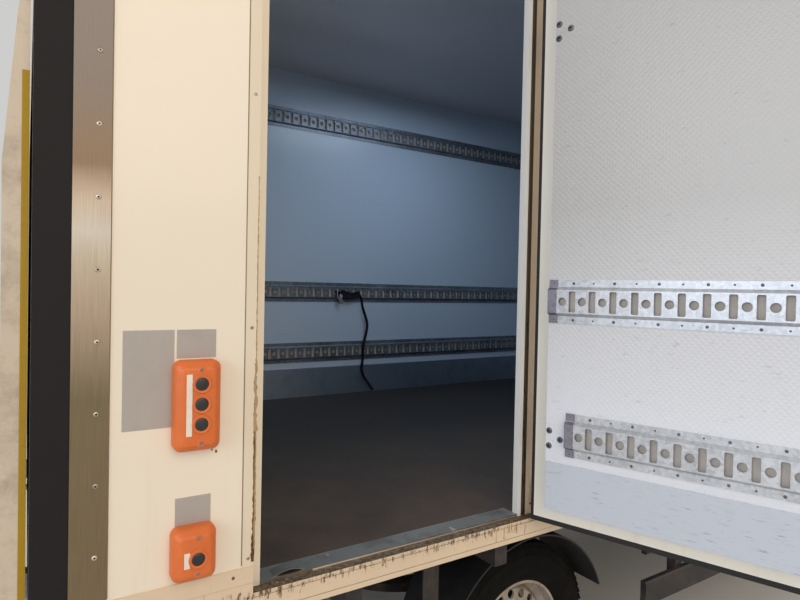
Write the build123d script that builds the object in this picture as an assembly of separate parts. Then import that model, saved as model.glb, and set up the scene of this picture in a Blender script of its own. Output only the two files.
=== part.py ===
"""Refrigerated box truck on a light two-axle chassis, in millimetres.

+X points forward, +Y to the truck's left, +Z up. The origin is on the ground,
on the centre plane, midway between the two axles. The truck stands as it parks:
cargo side door open, cantilever tail lift stowed upright behind the rear doors.
"""
import os
from math import cos, radians, sin

from build123d import *

# Wheels and axles
WHEELBASE = 4300.0
FRONT_AXLE_X = WHEELBASE / 2
REAR_AXLE_X = -WHEELBASE / 2
TYRE_RADIUS = 350.0
TYRE_WIDTH = 205.0
TYRE_SHOULDER = 30.0
BEAD_RADIUS = 203.0
FLANGE_RADIUS = 218.0
RIM_WIDTH = 178.0
RIM_WALL = 5.0
RIM_WELL_RADIUS = 176.0
RIM_SEAT = 0.3
DISC_OUTSET = 38.0
DISC_WALL = 8.0
DISC_HOLES = 16
DISC_HOLE_RADIUS = 16.0
DISC_HOLE_CIRCLE = 142.0
HUB_RADIUS = 72.0
HUB_BORE = 32.0
FRONT_TRACK = 1710.0
REAR_TRACK = 1650.0
KINGPIN_INSET = 100.0
KINGPIN_RADIUS = 16.0
PIN_CLEARANCE = 0.1
SPINDLE_CLEARANCE = 0.1
BRAKE_RADIUS = 150.0

# Insulated box body
BOX_WIDTH = 2280.0
BOX_FRONT_X = 700.0
BOX_REAR_X = -3635.0
BOX_BASE_Z = 850.0
FLOOR_Z = 922.0
CEILING_Z = 3035.0
WALL = 50.0
ROOF = 65.0
POST_DEPTH = 70.0
POST_WIDTH = 60.0
SIDE_RAIL_TOP_Z = 980.0
SIDE_RAIL_GROOVE_ZS = (940.0, 904.0, 866.0)
TRIM = 3.0
TRIM_OVERLAP = 45.0
KICK_HEIGHT = 189.0
KICK_SHEET = 3.0
KICK_REBATE = 6.0

# Load rails: a hat section with slots and round holes by turns
RAIL_HEIGHT = 130.0
RAIL_DEPTH = 14.0
RAIL_FLANGE = 22.0
RAIL_SHEET = 2.5
RAIL_PITCH = 60.0
SLOT_HEIGHT = 62.0
SLOT_WIDTH = 18.0
ROUND_HOLE_RADIUS = 13.0
RAIL_CENTRE_ZS = (1216.0, 1616.0, CEILING_Z - 302.0)
RAIL_END_GAP = 25.0

# Cargo side door, on the right side near the rear
SIDE_DOOR_REAR_X = -3247.0
SIDE_DOOR_WIDTH = 937.0
SIDE_DOOR_BOTTOM_Z = 919.0
SIDE_DOOR_HEAD = 270.0
SIDE_DOOR_TOP_Z = CEILING_Z - SIDE_DOOR_HEAD
SIDE_DOOR_SLAB = 28.0
SIDE_DOOR_PLUG = 34.0
SIDE_DOOR_PLUG_RISE = 58.0
LATCH_REBATE = 27.0
HINGE_REBATE = 61.0
HEAD_REBATE = 36.0
PLUG_CLEARANCE = 5.0
SIDE_DOOR_OPEN_DEG = 108.7
SIDE_DOOR_CLEARANCE = 5.0
SEAL_BAND = 11.0
SEAL_FOOT = 16.0
SEAL_SET_BACK = 1.0
FRAME_FLANGE = 27.0
FRAME_PROUD = 1.5
JAMB_GROOVE_INSET = 16.0
JAMB_GROOVE_WIDTH = 19.0
JAMB_GROOVE_DEPTH = 6.0
HINGE_OUT = 8.4
HINGE_INSET = 4.5
HINGE_KNUCKLE = 7.5
HINGE_ZS = (1197.0, SIDE_DOOR_TOP_Z - 332.0)
THRESHOLD_SHEET = 3.0
THRESHOLD_WIDTH = 64.0

# Cooling unit on the bulkhead
UNIT_BASE_Z = 2500.0
UNIT_SLAT = 34.0

# Rear doors and tail lift
REAR_DOOR = 67.0
REAR_DOOR_GAP = 0.3
REAR_DOOR_EDGE = 14.0
LOCK_ROD_RADIUS = 11.0
LOCK_CHANNEL = 60.0
LOCK_CHANNEL_DEPTH = 30.0
PLATFORM_GAP = 5.0
PLATFORM_THICKNESS = 45.0
PLATFORM_TIP = 12.0
PLATFORM_LENGTH = 1390.0
PLATFORM_RAMP = 400.0
PLATFORM_WIDTH = 2190.0
LIFT_PIVOT = (-2950.0, 440.0)
LIFT_HEAD_PIVOT = (-3805.0, 860.0)
LIFT_LINK_OFFSET = (25.0, -75.0)
LIFT_ARM_Y = 585.0
LIFT_ARM_WIDTH = 44.0
LIFT_LINK_Y = 522.0
LIFT_LINK_WIDTH = 36.0
LIFT_PLATE = 12.0
LIFT_PIN = 14.0
LIFT_BEAM = 110.0
REAR_LAMP_CLEARANCE = 83.0
CONTROL_SHIFT = 15.0

# Chassis
RAIL_OUTER_Y = 470.0
RAIL_FLANGE_WIDTH = 80.0
CHASSIS_RAIL_BASE_Z = 560.0
CHASSIS_RAIL_TOP_Z = 700.0
CHASSIS_REAR_X = -3560.0
CHASSIS_FRONT_X = 3000.0
BEARER_X_PITCH = 530.0
BEARER_COUNT = 8
BEARER_BASE_Z = 769.0
GUARD_FIRST_BEARER = 4
GUARD_LAST_BEARER = 7
GUARD_OVERHANG = 240.0
GUARD_INSET = 45.0
GUARD_RAIL = 25.0
GUARD_RAIL_HEIGHT = 100.0
GUARD_RAIL_ZS = (400.0, 610.0)
GUARD_POST = 40.0
MUDGUARD_RADIUS = 402.0
MUDGUARD_SHEET = 6.0

# Cab
CAB_REAR_X = 745.0
CAB_HALF_WIDTH = 1000.0
CAB_WALL = 42.0
CAB_FLOOR_Z = 750.0
CAB_FLOOR = 30.0
CAB_BASE_Z = 410.0
FIREWALL_X = 2350.0
ARCH_RADIUS = 432.0
ARCH_WALL = 14.0
ARCH_INNER_Y = 536.0
SCREEN_BASE = (2470.0, 1440.0)
SCREEN_TOP = (1440.0, 2420.0)
DOOR_GAP = 5.0
DOOR_REAR_X = 880.0
DOOR_FRONT_X = 1745.0
DOOR_BASE_Z = 545.0
DOOR_TOP_Z = 2262.0
BELT_Z = 1440.0
GLASS = 6.0
DOOR_SKIN = 8.0
DOOR_LIP = 22.0
CAB_HINGE_X = DOOR_FRONT_X + 30.0
CAB_HINGE_Y = CAB_HALF_WIDTH + 9.0
CAB_HINGE_ZS = (840.0, 1340.0)
CAB_HINGE_RADIUS = 7.0
CAB_HINGE_HALF = 30.0
CAB_HINGE_GAP = 0.3
BUMPER_REAR_X = 2790.0
BUMPER_BACK_X = 3040.0
BUMPER_TOP_Z = 745.0
BUMPER_DROP = 110.0
BUMPER_SLOT_ZS = (438.0, 484.0, 530.0)
BUMPER_SLOT = 26.0
FOG_LAMP_Y = 660.0
FOG_LAMP_Z = 500.0
FOG_LAMP_RADIUS = 46.0
RECESS = 26.0
MOULDING_ZS = (690.0, 762.0)
MOULDING_PROUD = 6.0
ARCH_LIP = 36.0
HANDLE_Z = BELT_Z - 135.0
HANDLE_LENGTH = 150.0


def block(x0, x1, y0, y1, z0, z1):
    """A box between two corners."""
    return Pos((x0 + x1) / 2, (y0 + y1) / 2, (z0 + z1) / 2) * Box(
        abs(x1 - x0), abs(y1 - y0), abs(z1 - z0))


def rod(start, end, radius):
    """A round bar between two points."""
    axis = Vector(*end) - Vector(*start)
    plane = Plane(origin=start, z_dir=axis)
    return plane * Cylinder(radius, axis.length, align=(Align.CENTER, Align.CENTER, Align.MIN))


def across(x, y0, y1, z, radius):
    """A round bar that runs across the truck."""
    return rod((x, y0, z), (x, y1, z), radius)


def plate_xz(points, y0, y1):
    """A flat plate with an outline in side view, between two widths."""
    face = Plane.XZ * make_face(Polyline(*points, close=True))
    return Pos(0, max(y0, y1), 0) * extrude(face, abs(y1 - y0))


def bar_xz(start, end, half_depth, y0, y1):
    """A straight bar with round ends, seen from the side, between two widths."""
    (xa, za), (xb, zb) = start, end
    run = Vector(xb - xa, zb - za)
    side = run.rotate(Axis.Z, 90).normalized() * half_depth
    body = plate_xz([(xa + side.X, za + side.Y), (xb + side.X, zb + side.Y),
                     (xb - side.X, zb - side.Y), (xa - side.X, za - side.Y)], y0, y1)
    return body + across(xa, y0, y1, za, half_depth) + across(xb, y0, y1, zb, half_depth)


def mirrored(shape):
    """The same shape on the other side of the truck."""
    return mirror(shape, about=Plane.XZ)


def both_sides(shape):
    return shape + mirrored(shape)


def group(*shapes):
    """Several solids that share a node."""
    solids = []
    for shape in shapes:
        solids.extend(shape.solids())
    return Compound(children=solids)


# Wheels

def tyre_profile():
    """Half the outline of the tyre's section, as (radius, half width)."""
    half = TYRE_WIDTH / 2
    bead_half = RIM_WIDTH / 2 - RIM_WALL - RIM_SEAT
    return half, bead_half


def make_tyre():
    """A tyre about the Y axis, open at the beads, with a rounded shoulder and a bulged wall."""
    half, bead_half = tyre_profile()
    bead = BEAD_RADIUS + RIM_SEAT
    shoulder_r = TYRE_RADIUS - TYRE_SHOULDER
    bulge_r = (BEAD_RADIUS + TYRE_RADIUS) / 2
    tread_half = half - 22.0
    inner = 24.0
    edges = [
        Line((bead, -bead_half), (FLANGE_RADIUS + 8, -bead_half)),
        ThreePointArc((FLANGE_RADIUS + 8, -bead_half), (bulge_r, -half), (shoulder_r, -half + 8)),
        ThreePointArc((shoulder_r, -half + 8), (TYRE_RADIUS - 9, -half + 15), (TYRE_RADIUS - 2, -tread_half)),
        ThreePointArc((TYRE_RADIUS - 2, -tread_half), (TYRE_RADIUS, 0), (TYRE_RADIUS - 2, tread_half)),
        ThreePointArc((TYRE_RADIUS - 2, tread_half), (TYRE_RADIUS - 9, half - 15), (shoulder_r, half - 8)),
        ThreePointArc((shoulder_r, half - 8), (bulge_r, half), (FLANGE_RADIUS + 8, bead_half)),
        Line((FLANGE_RADIUS + 8, bead_half), (bead, bead_half)),
        Line((bead, bead_half), (bead, bead_half - inner)),
        Line((bead, bead_half - inner), (TYRE_RADIUS - inner, half - inner - 12)),
        Line((TYRE_RADIUS - inner, half - inner - 12), (TYRE_RADIUS - inner, -half + inner + 12)),
        Line((TYRE_RADIUS - inner, -half + inner + 12), (bead, -bead_half + inner)),
        Line((bead, -bead_half + inner), (bead, -bead_half)),
    ]
    face = make_face(Curve() + edges)
    return revolve(face, Axis.Y)


def make_rim():
    """A pressed steel wheel about the Y axis: flanges, well, dished disc with round holes. +Y faces out."""
    half = RIM_WIDTH / 2
    seat = BEAD_RADIUS
    well = RIM_WELL_RADIUS
    wall = RIM_WALL
    disc_y = DISC_OUTSET
    barrel = make_face(Polyline(
        (FLANGE_RADIUS, half), (FLANGE_RADIUS, half - wall), (seat, half - wall), (seat, half - 45),
        (well, half - 62), (well, -half + 62), (seat, -half + 45), (seat, -half + wall),
        (FLANGE_RADIUS, -half + wall), (FLANGE_RADIUS, -half), (seat - wall, -half),
        (seat - wall, -half + 47), (well - wall, -half + 64), (well - wall, half - 64),
        (seat - wall, half - 47), (seat - wall, half), close=True))
    disc = make_face(Polyline(
        (HUB_BORE, disc_y), (HUB_RADIUS + 30, disc_y), (HUB_RADIUS + 42, disc_y + 14),
        (DISC_HOLE_CIRCLE + 16, disc_y + 6), (well - 2.0, disc_y - 22), (well - 2.0, disc_y - 34),
        (DISC_HOLE_CIRCLE + 14, disc_y - 4), (HUB_RADIUS + 44, disc_y + 5),
        (HUB_RADIUS + 34, disc_y - DISC_WALL), (HUB_BORE, disc_y - DISC_WALL), close=True))
    wheel = revolve(barrel, Axis.Y) + revolve(disc, Axis.Y)
    hub = Rotation(-90, 0, 0) * (Cylinder(HUB_RADIUS, 50, align=(Align.CENTER, Align.CENTER, Align.MAX))
                                 - Cylinder(HUB_BORE, 80, align=(Align.CENTER, Align.CENTER, Align.MAX)))
    cap = Rotation(-90, 0, 0) * Cylinder(HUB_BORE + 3, 26, align=(Align.CENTER, Align.CENTER, Align.MIN))
    wheel += Pos(0, disc_y - DISC_WALL, 0) * hub
    wheel += Pos(0, disc_y - 1, 0) * cap
    hole = Pos(DISC_HOLE_CIRCLE, disc_y, 0) * (Rotation(-90, 0, 0) * Cylinder(DISC_HOLE_RADIUS, 60))
    return wheel - [Rotation(0, 360 / DISC_HOLES * i, 0) * hole for i in range(DISC_HOLES)]


WHEEL_TABLE = (
    # name, axle x, track
    ("front_left", FRONT_AXLE_X, FRONT_TRACK),
    ("front_right", FRONT_AXLE_X, -FRONT_TRACK),
    ("rear_left", REAR_AXLE_X, REAR_TRACK),
    ("rear_right", REAR_AXLE_X, -REAR_TRACK),
)


def wheel_nodes():
    tyre, rim = make_tyre(), make_rim()
    nodes = {}
    for name, x, track in WHEEL_TABLE:
        y = track / 2
        place = Pos(x, y, TYRE_RADIUS)
        if track > 0:
            nodes["tyre_" + name], nodes["wheel_" + name] = place * tyre, place * rim
        else:
            turned = Rotation(0, 0, 180)
            nodes["tyre_" + name], nodes["wheel_" + name] = place * (turned * tyre), place * (turned * rim)
    return nodes


# Axles

def make_knuckle():
    """The left steering knuckle: a fork on the kingpin, with the spindle and brake plate."""
    pin_y = FRONT_TRACK / 2 - KINGPIN_INSET
    z = TYRE_RADIUS
    x = FRONT_AXLE_X
    spindle_end = FRONT_TRACK / 2 + DISC_OUTSET - DISC_WALL - 4
    fork_y = pin_y + 48
    body = block(x - 34, x + 34, pin_y - 26, fork_y, z + 62, z + 88)
    body += block(x - 34, x + 34, pin_y - 26, fork_y, z - 88, z - 62)
    body += block(x - 34, x + 34, fork_y - 2, fork_y + 16, z - 88, z + 88)
    body += rod((x, pin_y, z - 88), (x, pin_y, z + 88), KINGPIN_RADIUS)
    body += across(x, fork_y + 14, spindle_end, z, HUB_BORE - SPINDLE_CLEARANCE)
    brake = across(x, fork_y + 14, fork_y + 26, z, BRAKE_RADIUS)
    return body + brake


def make_front_axle():
    """A dropped beam with a boss at each end for the kingpin, and two short leaf springs' seats."""
    pin_y = FRONT_TRACK / 2 - KINGPIN_INSET
    z = TYRE_RADIUS
    x = FRONT_AXLE_X
    boss = rod((x, pin_y, z - 56), (x, pin_y, z + 56), 36)
    arm = block(x - 30, x + 30, pin_y - 150, pin_y - 20, z - 40, z + 10)
    half = boss + arm
    beam = block(x - 36, x + 36, -(pin_y - 140), pin_y - 140, z - 60, z + 10)
    axle = beam + both_sides(half)
    bore = rod((x, pin_y, z - 70), (x, pin_y, z + 70), KINGPIN_RADIUS + PIN_CLEARANCE)
    axle -= both_sides(bore)
    seat = block(x - 60, x + 60, RAIL_OUTER_Y - 70, RAIL_OUTER_Y - 10, z + 10, CHASSIS_RAIL_BASE_Z)
    return axle + both_sides(seat)


def make_rear_axle():
    """A live axle: tube, differential, hub flanges and the two leaf springs that carry it."""
    z = TYRE_RADIUS
    x = REAR_AXLE_X
    hub_y = REAR_TRACK / 2 + DISC_OUTSET - DISC_WALL - 4
    tube = across(x, -(REAR_TRACK / 2 - 40), REAR_TRACK / 2 - 40, z, 44)
    spindle = across(x, REAR_TRACK / 2 - 42, hub_y, z, HUB_BORE - SPINDLE_CLEARANCE)
    drum = across(x, REAR_TRACK / 2 - 70, REAR_TRACK / 2 - 40, z, BRAKE_RADIUS)
    differential = Pos(x, 0, z) * Sphere(135)
    spring_y0, spring_y1 = RAIL_OUTER_Y + 6, RAIL_OUTER_Y + 76
    leaf = Plane.XZ * make_face(Curve() + [
        ThreePointArc((x - 590, z + 200), (x, z + 44), (x + 590, z + 200)),
        Line((x + 590, z + 200), (x + 590, z + 216)),
        ThreePointArc((x + 590, z + 216), (x, z + 84), (x - 590, z + 216)),
        Line((x - 590, z + 216), (x - 590, z + 200))])
    spring = Pos(0, spring_y1, 0) * extrude(leaf, spring_y1 - spring_y0)
    shackle = block(x - 602, x - 568, RAIL_OUTER_Y, spring_y1, z + 196, CHASSIS_RAIL_BASE_Z + 60)
    hanger = block(x + 568, x + 602, RAIL_OUTER_Y, spring_y1, z + 196, CHASSIS_RAIL_BASE_Z + 60)
    seat = block(x - 55, x + 55, spring_y0, spring_y1, z, z + 70)
    return tube + differential + both_sides(spindle + drum + spring + seat + shackle + hanger)


# Chassis

def make_chassis_frame():
    """Two channel rails with cross members."""
    web = 8.0
    y_out = RAIL_OUTER_Y
    y_in = RAIL_OUTER_Y - RAIL_FLANGE_WIDTH
    rail = block(CHASSIS_REAR_X, CHASSIS_FRONT_X, y_in, y_out, CHASSIS_RAIL_BASE_Z, CHASSIS_RAIL_TOP_Z)
    rail -= block(CHASSIS_REAR_X - 1, CHASSIS_FRONT_X + 1, y_in - 1, y_out - web,
                  CHASSIS_RAIL_BASE_Z + web, CHASSIS_RAIL_TOP_Z - web)
    frame = both_sides(rail)
    for x in (CHASSIS_REAR_X + 30, -3000, -2420, -1500, -600, 300, 1200):
        frame += block(x, x + 60, -(y_out - web / 2), y_out - web / 2,
                       CHASSIS_RAIL_BASE_Z + 20, CHASSIS_RAIL_TOP_Z - 20)
    for x in (900, 1560, 2500):
        frame += both_sides(block(x, x + 70, y_in + 5, y_out - 5, CHASSIS_RAIL_TOP_Z, CAB_FLOOR_Z))
    return frame


def make_body_subframe():
    """Long members on the chassis rails, cross bearers under the floor, stays, and the side guards."""
    y_in = RAIL_OUTER_Y - RAIL_FLANGE_WIDTH + 5
    long_member = block(BOX_REAR_X + 40, BOX_FRONT_X - 60, y_in, RAIL_OUTER_Y - 5,
                        CHASSIS_RAIL_TOP_Z, BEARER_BASE_Z + 1)
    frame = both_sides(long_member)
    for i in range(BEARER_COUNT):
        x = bearer_x(i)
        frame += block(x, x + 50, -(BOX_WIDTH / 2 - 30), BOX_WIDTH / 2 - 30, BEARER_BASE_Z, BOX_BASE_Z)
    stay_x = REAR_AXLE_X - 500
    stay = block(stay_x, stay_x + 60, BOX_WIDTH / 2 - 150, BOX_WIDTH / 2 - 144, 640, BOX_BASE_Z)
    frame = frame + both_sides(stay)
    guards = make_side_guards()
    return group(frame, *guards, *[mirrored(bar) for bar in guards])


def bearer_x(index):
    """The rear side of a cross bearer, counted from the back."""
    return BOX_REAR_X + 120 + index * BEARER_X_PITCH


def make_side_guards():
    """The left side's underrun guard between the axles: two rails on posts that hang from the bearers."""
    y_out = BOX_WIDTH / 2 - GUARD_INSET
    y_post = y_out - GUARD_RAIL
    first, last = bearer_x(GUARD_FIRST_BEARER), bearer_x(GUARD_LAST_BEARER)
    bars = []
    for x in (first, last):
        bars.append(block(x, x + GUARD_POST, y_post - GUARD_POST, y_post, GUARD_RAIL_ZS[0], BEARER_BASE_Z))
    for z in GUARD_RAIL_ZS:
        rail = block(first - GUARD_OVERHANG, last + GUARD_POST + GUARD_OVERHANG, y_post, y_out,
                     z, z + GUARD_RAIL_HEIGHT)
        bars.append(chamfer(rail.edges().filter_by(Axis.X).group_by(Axis.Y)[-1], 6))
    return bars


def make_engine():
    """Engine and gearbox as one plain mass, with the propeller shaft to the rear axle."""
    block_body = block(2400, 2950, -230, 230, 520, 1050)
    gearbox = block(1500, 2400, -150, 150, 470, 740 - 30)
    shaft = rod((1505, 0, 515), (REAR_AXLE_X + 100, 0, TYRE_RADIUS + 40), 38)
    return block_body + gearbox + shaft


def make_exhaust():
    pipe = rod((1450, 260, 480), (-300, 260, 470), 30)
    silencer = rod((-300, 260, 470), (-1000, 260, 470), 95)
    tail = rod((-1000, 260, 470), (-1700, 260, 480), 30)
    hanger_top = CHASSIS_RAIL_BASE_Z + 20
    hangers = block(-590, -550, 255, 265, 540, hanger_top) + block(1210, 1250, 255, 265, 500, hanger_top)
    return pipe + silencer + tail + hangers


def make_fuel_tank():
    tank = block(-950, -150, -820, -500, 400, 640)
    tank = fillet(tank.edges().filter_by(Axis.X), 45)
    strap = None
    for x in (-820, -280):
        hoop = block(x - 25, x + 25, -823, -RAIL_OUTER_Y, 640, 646)
        hoop += block(x - 25, x + 25, -500, -RAIL_OUTER_Y, 590, 646)
        strap = hoop if strap is None else strap + hoop
    return tank + strap


def make_mudguards():
    """A rolled guard over each rear wheel, with its two stays up to the cross bearers."""
    r_in, r_out = MUDGUARD_RADIUS - MUDGUARD_SHEET, MUDGUARD_RADIUS
    y0, y1 = REAR_TRACK / 2 - 125, REAR_TRACK / 2 + 155
    ring = Cylinder(r_out, y1 - y0) - Cylinder(r_in, y1 - y0 + 2)
    ring -= Pos(0, -r_out, 0) * Box(3 * r_out, 2 * r_out + 2 * 130, y1 - y0 + 2)
    guard = Pos(REAR_AXLE_X, (y0 + y1) / 2, TYRE_RADIUS) * (Rotation(90, 0, 0) * ring)
    stays = None
    for x in (REAR_AXLE_X - 160, REAR_AXLE_X + 160):
        stay = block(x - 15, x + 15, y0 + 60, y0 + 90, TYRE_RADIUS + 362, BOX_BASE_Z)
        stays = stay if stays is None else stays + stay
    return both_sides(guard + stays)


# Cab

def cab_side(inset):
    """The cab's outline seen from the side."""
    face = make_face(Polyline(
        (CAB_REAR_X, CAB_BASE_Z), (CAB_REAR_X, 2335), SCREEN_TOP, SCREEN_BASE,
        (3010, 1170), (3110, 980), (3160, 700), (3150, 470), (3085, CAB_BASE_Z - BUMPER_DROP),
        (BUMPER_REAR_X, CAB_BASE_Z - BUMPER_DROP + 20), (2700, CAB_BASE_Z), close=True))
    rounds = ((CAB_REAR_X, 110), (SCREEN_TOP[0], 240), (SCREEN_BASE[0], 200), (3010, 130), (3110, 120), (3160, 200),
              (3150, 60), (3085, 30))
    for x, radius in rounds:
        corner = [c for c in face.vertices() if abs(c.X - x) < 0.5 and (x != CAB_REAR_X or c.Y > 2000)]
        face = fillet(corner, radius)
    if inset:
        face = offset(face, -inset, kind=Kind.INTERSECTION)
    return face


def cab_front(inset):
    """The cab's outline seen from the front, as half width against height."""
    w = CAB_HALF_WIDTH
    right = Polyline((-w + 12, CAB_BASE_Z - 160), (-w, 900), (-w + 4, BELT_Z - 60), (-w + 150, 2300))
    top = ThreePointArc((-w + 150, 2300), (0, 2450), (w - 150, 2300))
    left = Polyline((w - 150, 2300), (w - 4, BELT_Z - 60), (w, 900), (w - 12, CAB_BASE_Z - 160))
    base = Line((w - 12, CAB_BASE_Z - 160), (-w + 12, CAB_BASE_Z - 160))
    face = make_face(Curve() + [right, top, left, base])
    face = fillet([c for c in face.vertices() if abs(c.Y - 2300) < 1], 120)
    face = fillet([c for c in face.vertices() if abs(c.Y - BELT_Z + 60) < 1], 160)
    if inset:
        face = offset(face, -inset, kind=Kind.INTERSECTION)
    return face


def cab_plan(inset):
    """The cab's outline seen from above: square at the back, bowed at the nose."""
    w = CAB_HALF_WIDTH
    corners = ((CAB_REAR_X - 20, w, 60), (2500, w, 800), (3020, w - 130, 170), (3162, w - 580, 700))
    points = [(x, y) for x, y, r in corners] + [(x, -y) for x, y, r in reversed(corners)]
    face = make_face(Polyline(*points, close=True))
    for x, y, radius in corners:
        face = fillet([c for c in face.vertices() if abs(c.X - x) < 1 and abs(abs(c.Y) - y) < 1], radius)
    if inset:
        face = offset(face, -inset, kind=Kind.INTERSECTION)
    return face


def cab_body(inset=0.0):
    """The cab's whole outer form, or the same form drawn in by a wall."""
    side = extrude(Plane.XZ * cab_side(inset), CAB_HALF_WIDTH + 50, both=True)
    plan = extrude(Pos(0, 0, 200) * cab_plan(inset), 2400)
    front = extrude(Plane.YZ * cab_front(inset), 3400)
    return side & plan & front


def door_outline(grow=0.0):
    """The cab door's outline in side view."""
    face = make_face(Polyline(
        (DOOR_REAR_X, DOOR_BASE_Z), (DOOR_FRONT_X, DOOR_BASE_Z), (DOOR_FRONT_X + 55, 760), (DOOR_FRONT_X + 55, BELT_Z + 130),
        (DOOR_FRONT_X - 330, DOOR_TOP_Z), (DOOR_REAR_X, DOOR_TOP_Z), close=True))
    face = fillet(face.vertices(), 45)
    return offset(face, grow, kind=Kind.ARC) if grow else face


def door_window_outline(grow=0.0):
    face = make_face(Polyline(
        (DOOR_REAR_X + 75, BELT_Z), (DOOR_FRONT_X - 5, BELT_Z), (DOOR_FRONT_X - 5, BELT_Z + 120),
        (DOOR_FRONT_X - 345, DOOR_TOP_Z - 75), (DOOR_REAR_X + 75, DOOR_TOP_Z - 75), close=True))
    face = fillet(face.vertices(), 38)
    return offset(face, grow, kind=Kind.ARC) if grow else face


def side_prism(face, inner_y=600.0):
    """A side-view outline carried through the left side of the cab."""
    return Pos(0, CAB_HALF_WIDTH + 60, 0) * extrude(Plane.XZ * face, CAB_HALF_WIDTH + 60 - inner_y)


def screen_prism(grow=0.0):
    """The windscreen's opening, square to the sloping glass."""
    (xb, zb), (xt, zt) = SCREEN_BASE, SCREEN_TOP
    run = Vector(xt - xb, 0, zt - zb)
    normal = Vector(0, 1, 0).cross(run).normalized()
    if normal.X < 0:
        normal = -normal
    middle = Vector((xb + xt) / 2, 0, (zb + zt) / 2)
    plane = Plane(origin=middle, x_dir=(0, 1, 0), z_dir=normal)
    up = 1 if plane.y_dir.Z > 0 else -1
    half = run.length / 2
    low, high = -half + 70, half - 150
    face = make_face(Polyline((-860, up * low), (860, up * low), (735, up * high), (-735, up * high), close=True))
    face = fillet(face.vertices(), 70)
    if grow:
        face = offset(face, grow, kind=Kind.ARC)
    return extrude(plane * face, 320, both=True)


def make_cab_hinges():
    """The left cab door's two hinges: knuckles and leaf on the door, knuckle and leaf on the pillar."""
    x, y = CAB_HINGE_X, CAB_HINGE_Y
    third = CAB_HINGE_HALF / 3
    door_half, pillar_half = None, None
    for z in CAB_HINGE_ZS:
        for z0, z1 in ((z - 3 * third, z - third - CAB_HINGE_GAP), (z + third + CAB_HINGE_GAP, z + 3 * third)):
            knuckle = rod((x, y, z0), (x, y, z1), CAB_HINGE_RADIUS) + block(x - 45, x, y - 18, y - 3, z0, z1)
            door_half = knuckle if door_half is None else door_half + knuckle
        knuckle = rod((x, y, z - third), (x, y, z + third), CAB_HINGE_RADIUS)
        knuckle += block(x, x + 60, y - 6, y - 2, z - third, z + third)
        knuckle += block(x + 33, x + 60, y - 18, y - 2, z - third, z + third)
        pillar_half = knuckle if pillar_half is None else pillar_half + knuckle
    return door_half, pillar_half


def make_cab():
    """The cab shell, its doors and its glass, all cut from the same form."""
    outer = cab_body()
    inner = cab_body(CAB_WALL)
    cavity = inner & block(CAB_REAR_X, FIREWALL_X, -1100, 1100, CAB_FLOOR_Z + CAB_FLOOR, 2600)
    bay = inner & block(FIREWALL_X + CAB_FLOOR, 3400, -1100, 1100, CAB_BASE_Z - 200, 2600)
    shell = outer - cavity - bay
    shell -= block(CAB_REAR_X - 50, FIREWALL_X - 20, -905, 905, 200, CAB_FLOOR_Z)
    underside = extrude(Pos(0, 0, 100) * cab_plan(CAB_WALL), 1000)
    shell -= block(2200, BUMPER_BACK_X, -780, 780, 200, 560) & underside
    housing = Pos(FRONT_AXLE_X, 0, TYRE_RADIUS) * (Rotation(90, 0, 0) * Cylinder(ARCH_RADIUS + ARCH_WALL, 2400))
    housing = housing & outer
    housing -= block(-4000, 4000, -(ARCH_INNER_Y - ARCH_WALL), ARCH_INNER_Y - ARCH_WALL, 0, 3000)
    well = Pos(FRONT_AXLE_X, 0, TYRE_RADIUS) * (Rotation(90, 0, 0) * Cylinder(ARCH_RADIUS, 2500))
    well -= block(-4000, 4000, -ARCH_INNER_Y, ARCH_INNER_Y, 0, 3000)
    moulding = make_cab_mouldings()
    shell = shell + housing + moulding - well
    tunnel = block(CAB_REAR_X - 50, BUMPER_BACK_X, -RAIL_OUTER_Y - 12, RAIL_OUTER_Y + 12, 250,
                   CHASSIS_RAIL_TOP_Z + 12)
    shell -= tunnel
    door_half, pillar_half = make_cab_hinges()
    door = (outer - cab_body(DOOR_SKIN)) & side_prism(door_outline())
    door += (cab_body(DOOR_SKIN - 1) - inner) & side_prism(door_outline(-DOOR_LIP))
    door += moulding & side_prism(door_outline())
    door = door + door_half - make_handle_cup() + make_handle()
    pocket = side_prism(door_outline(DOOR_GAP)) - cab_body(CAB_WALL + DOOR_GAP)
    shell = shell - pocket - mirrored(pocket) + pillar_half + mirrored(pillar_half)
    window = side_prism(door_window_outline())
    door -= window
    quarter = make_face(Polyline((DOOR_FRONT_X + 85, BELT_Z + 20), (DOOR_FRONT_X + 390, BELT_Z + 20),
                                 (DOOR_FRONT_X + 85, BELT_Z + 290), close=True))
    quarter = fillet(quarter.vertices(), 25)
    quarter_cut = side_prism(quarter)
    shell = shell - quarter_cut - mirrored(quarter_cut)
    shell -= screen_prism()
    skin = cab_body(3.0) - cab_body(3.0 + GLASS)
    screen = skin & screen_prism(-0.3)
    door_glass = skin & side_prism(door_window_outline(-0.3))
    quarter_glass = skin & side_prism(offset(quarter, -0.3))
    return shell, door, screen, door_glass, quarter_glass


def make_cab_mouldings():
    """The rubbing strip along both sides and the lip round each front arch, proud of the skin."""
    proud = cab_body(-MOULDING_PROUD) - cab_body(2.0)
    strip = block(CAB_REAR_X + 15, BUMPER_REAR_X, -1100, 1100, *MOULDING_ZS)
    strip -= block(CAB_REAR_X, BUMPER_REAR_X + 1, -900, 900, 600, 900)
    lip = Pos(FRONT_AXLE_X, 0, TYRE_RADIUS) * (Rotation(90, 0, 0) * Cylinder(ARCH_RADIUS + ARCH_LIP, 2300))
    lip &= block(CAB_HINGE_X + 40, BUMPER_REAR_X, 900, 1100, CAB_BASE_Z + 20, 1000)
    return proud & (strip + both_sides(lip))


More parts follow.
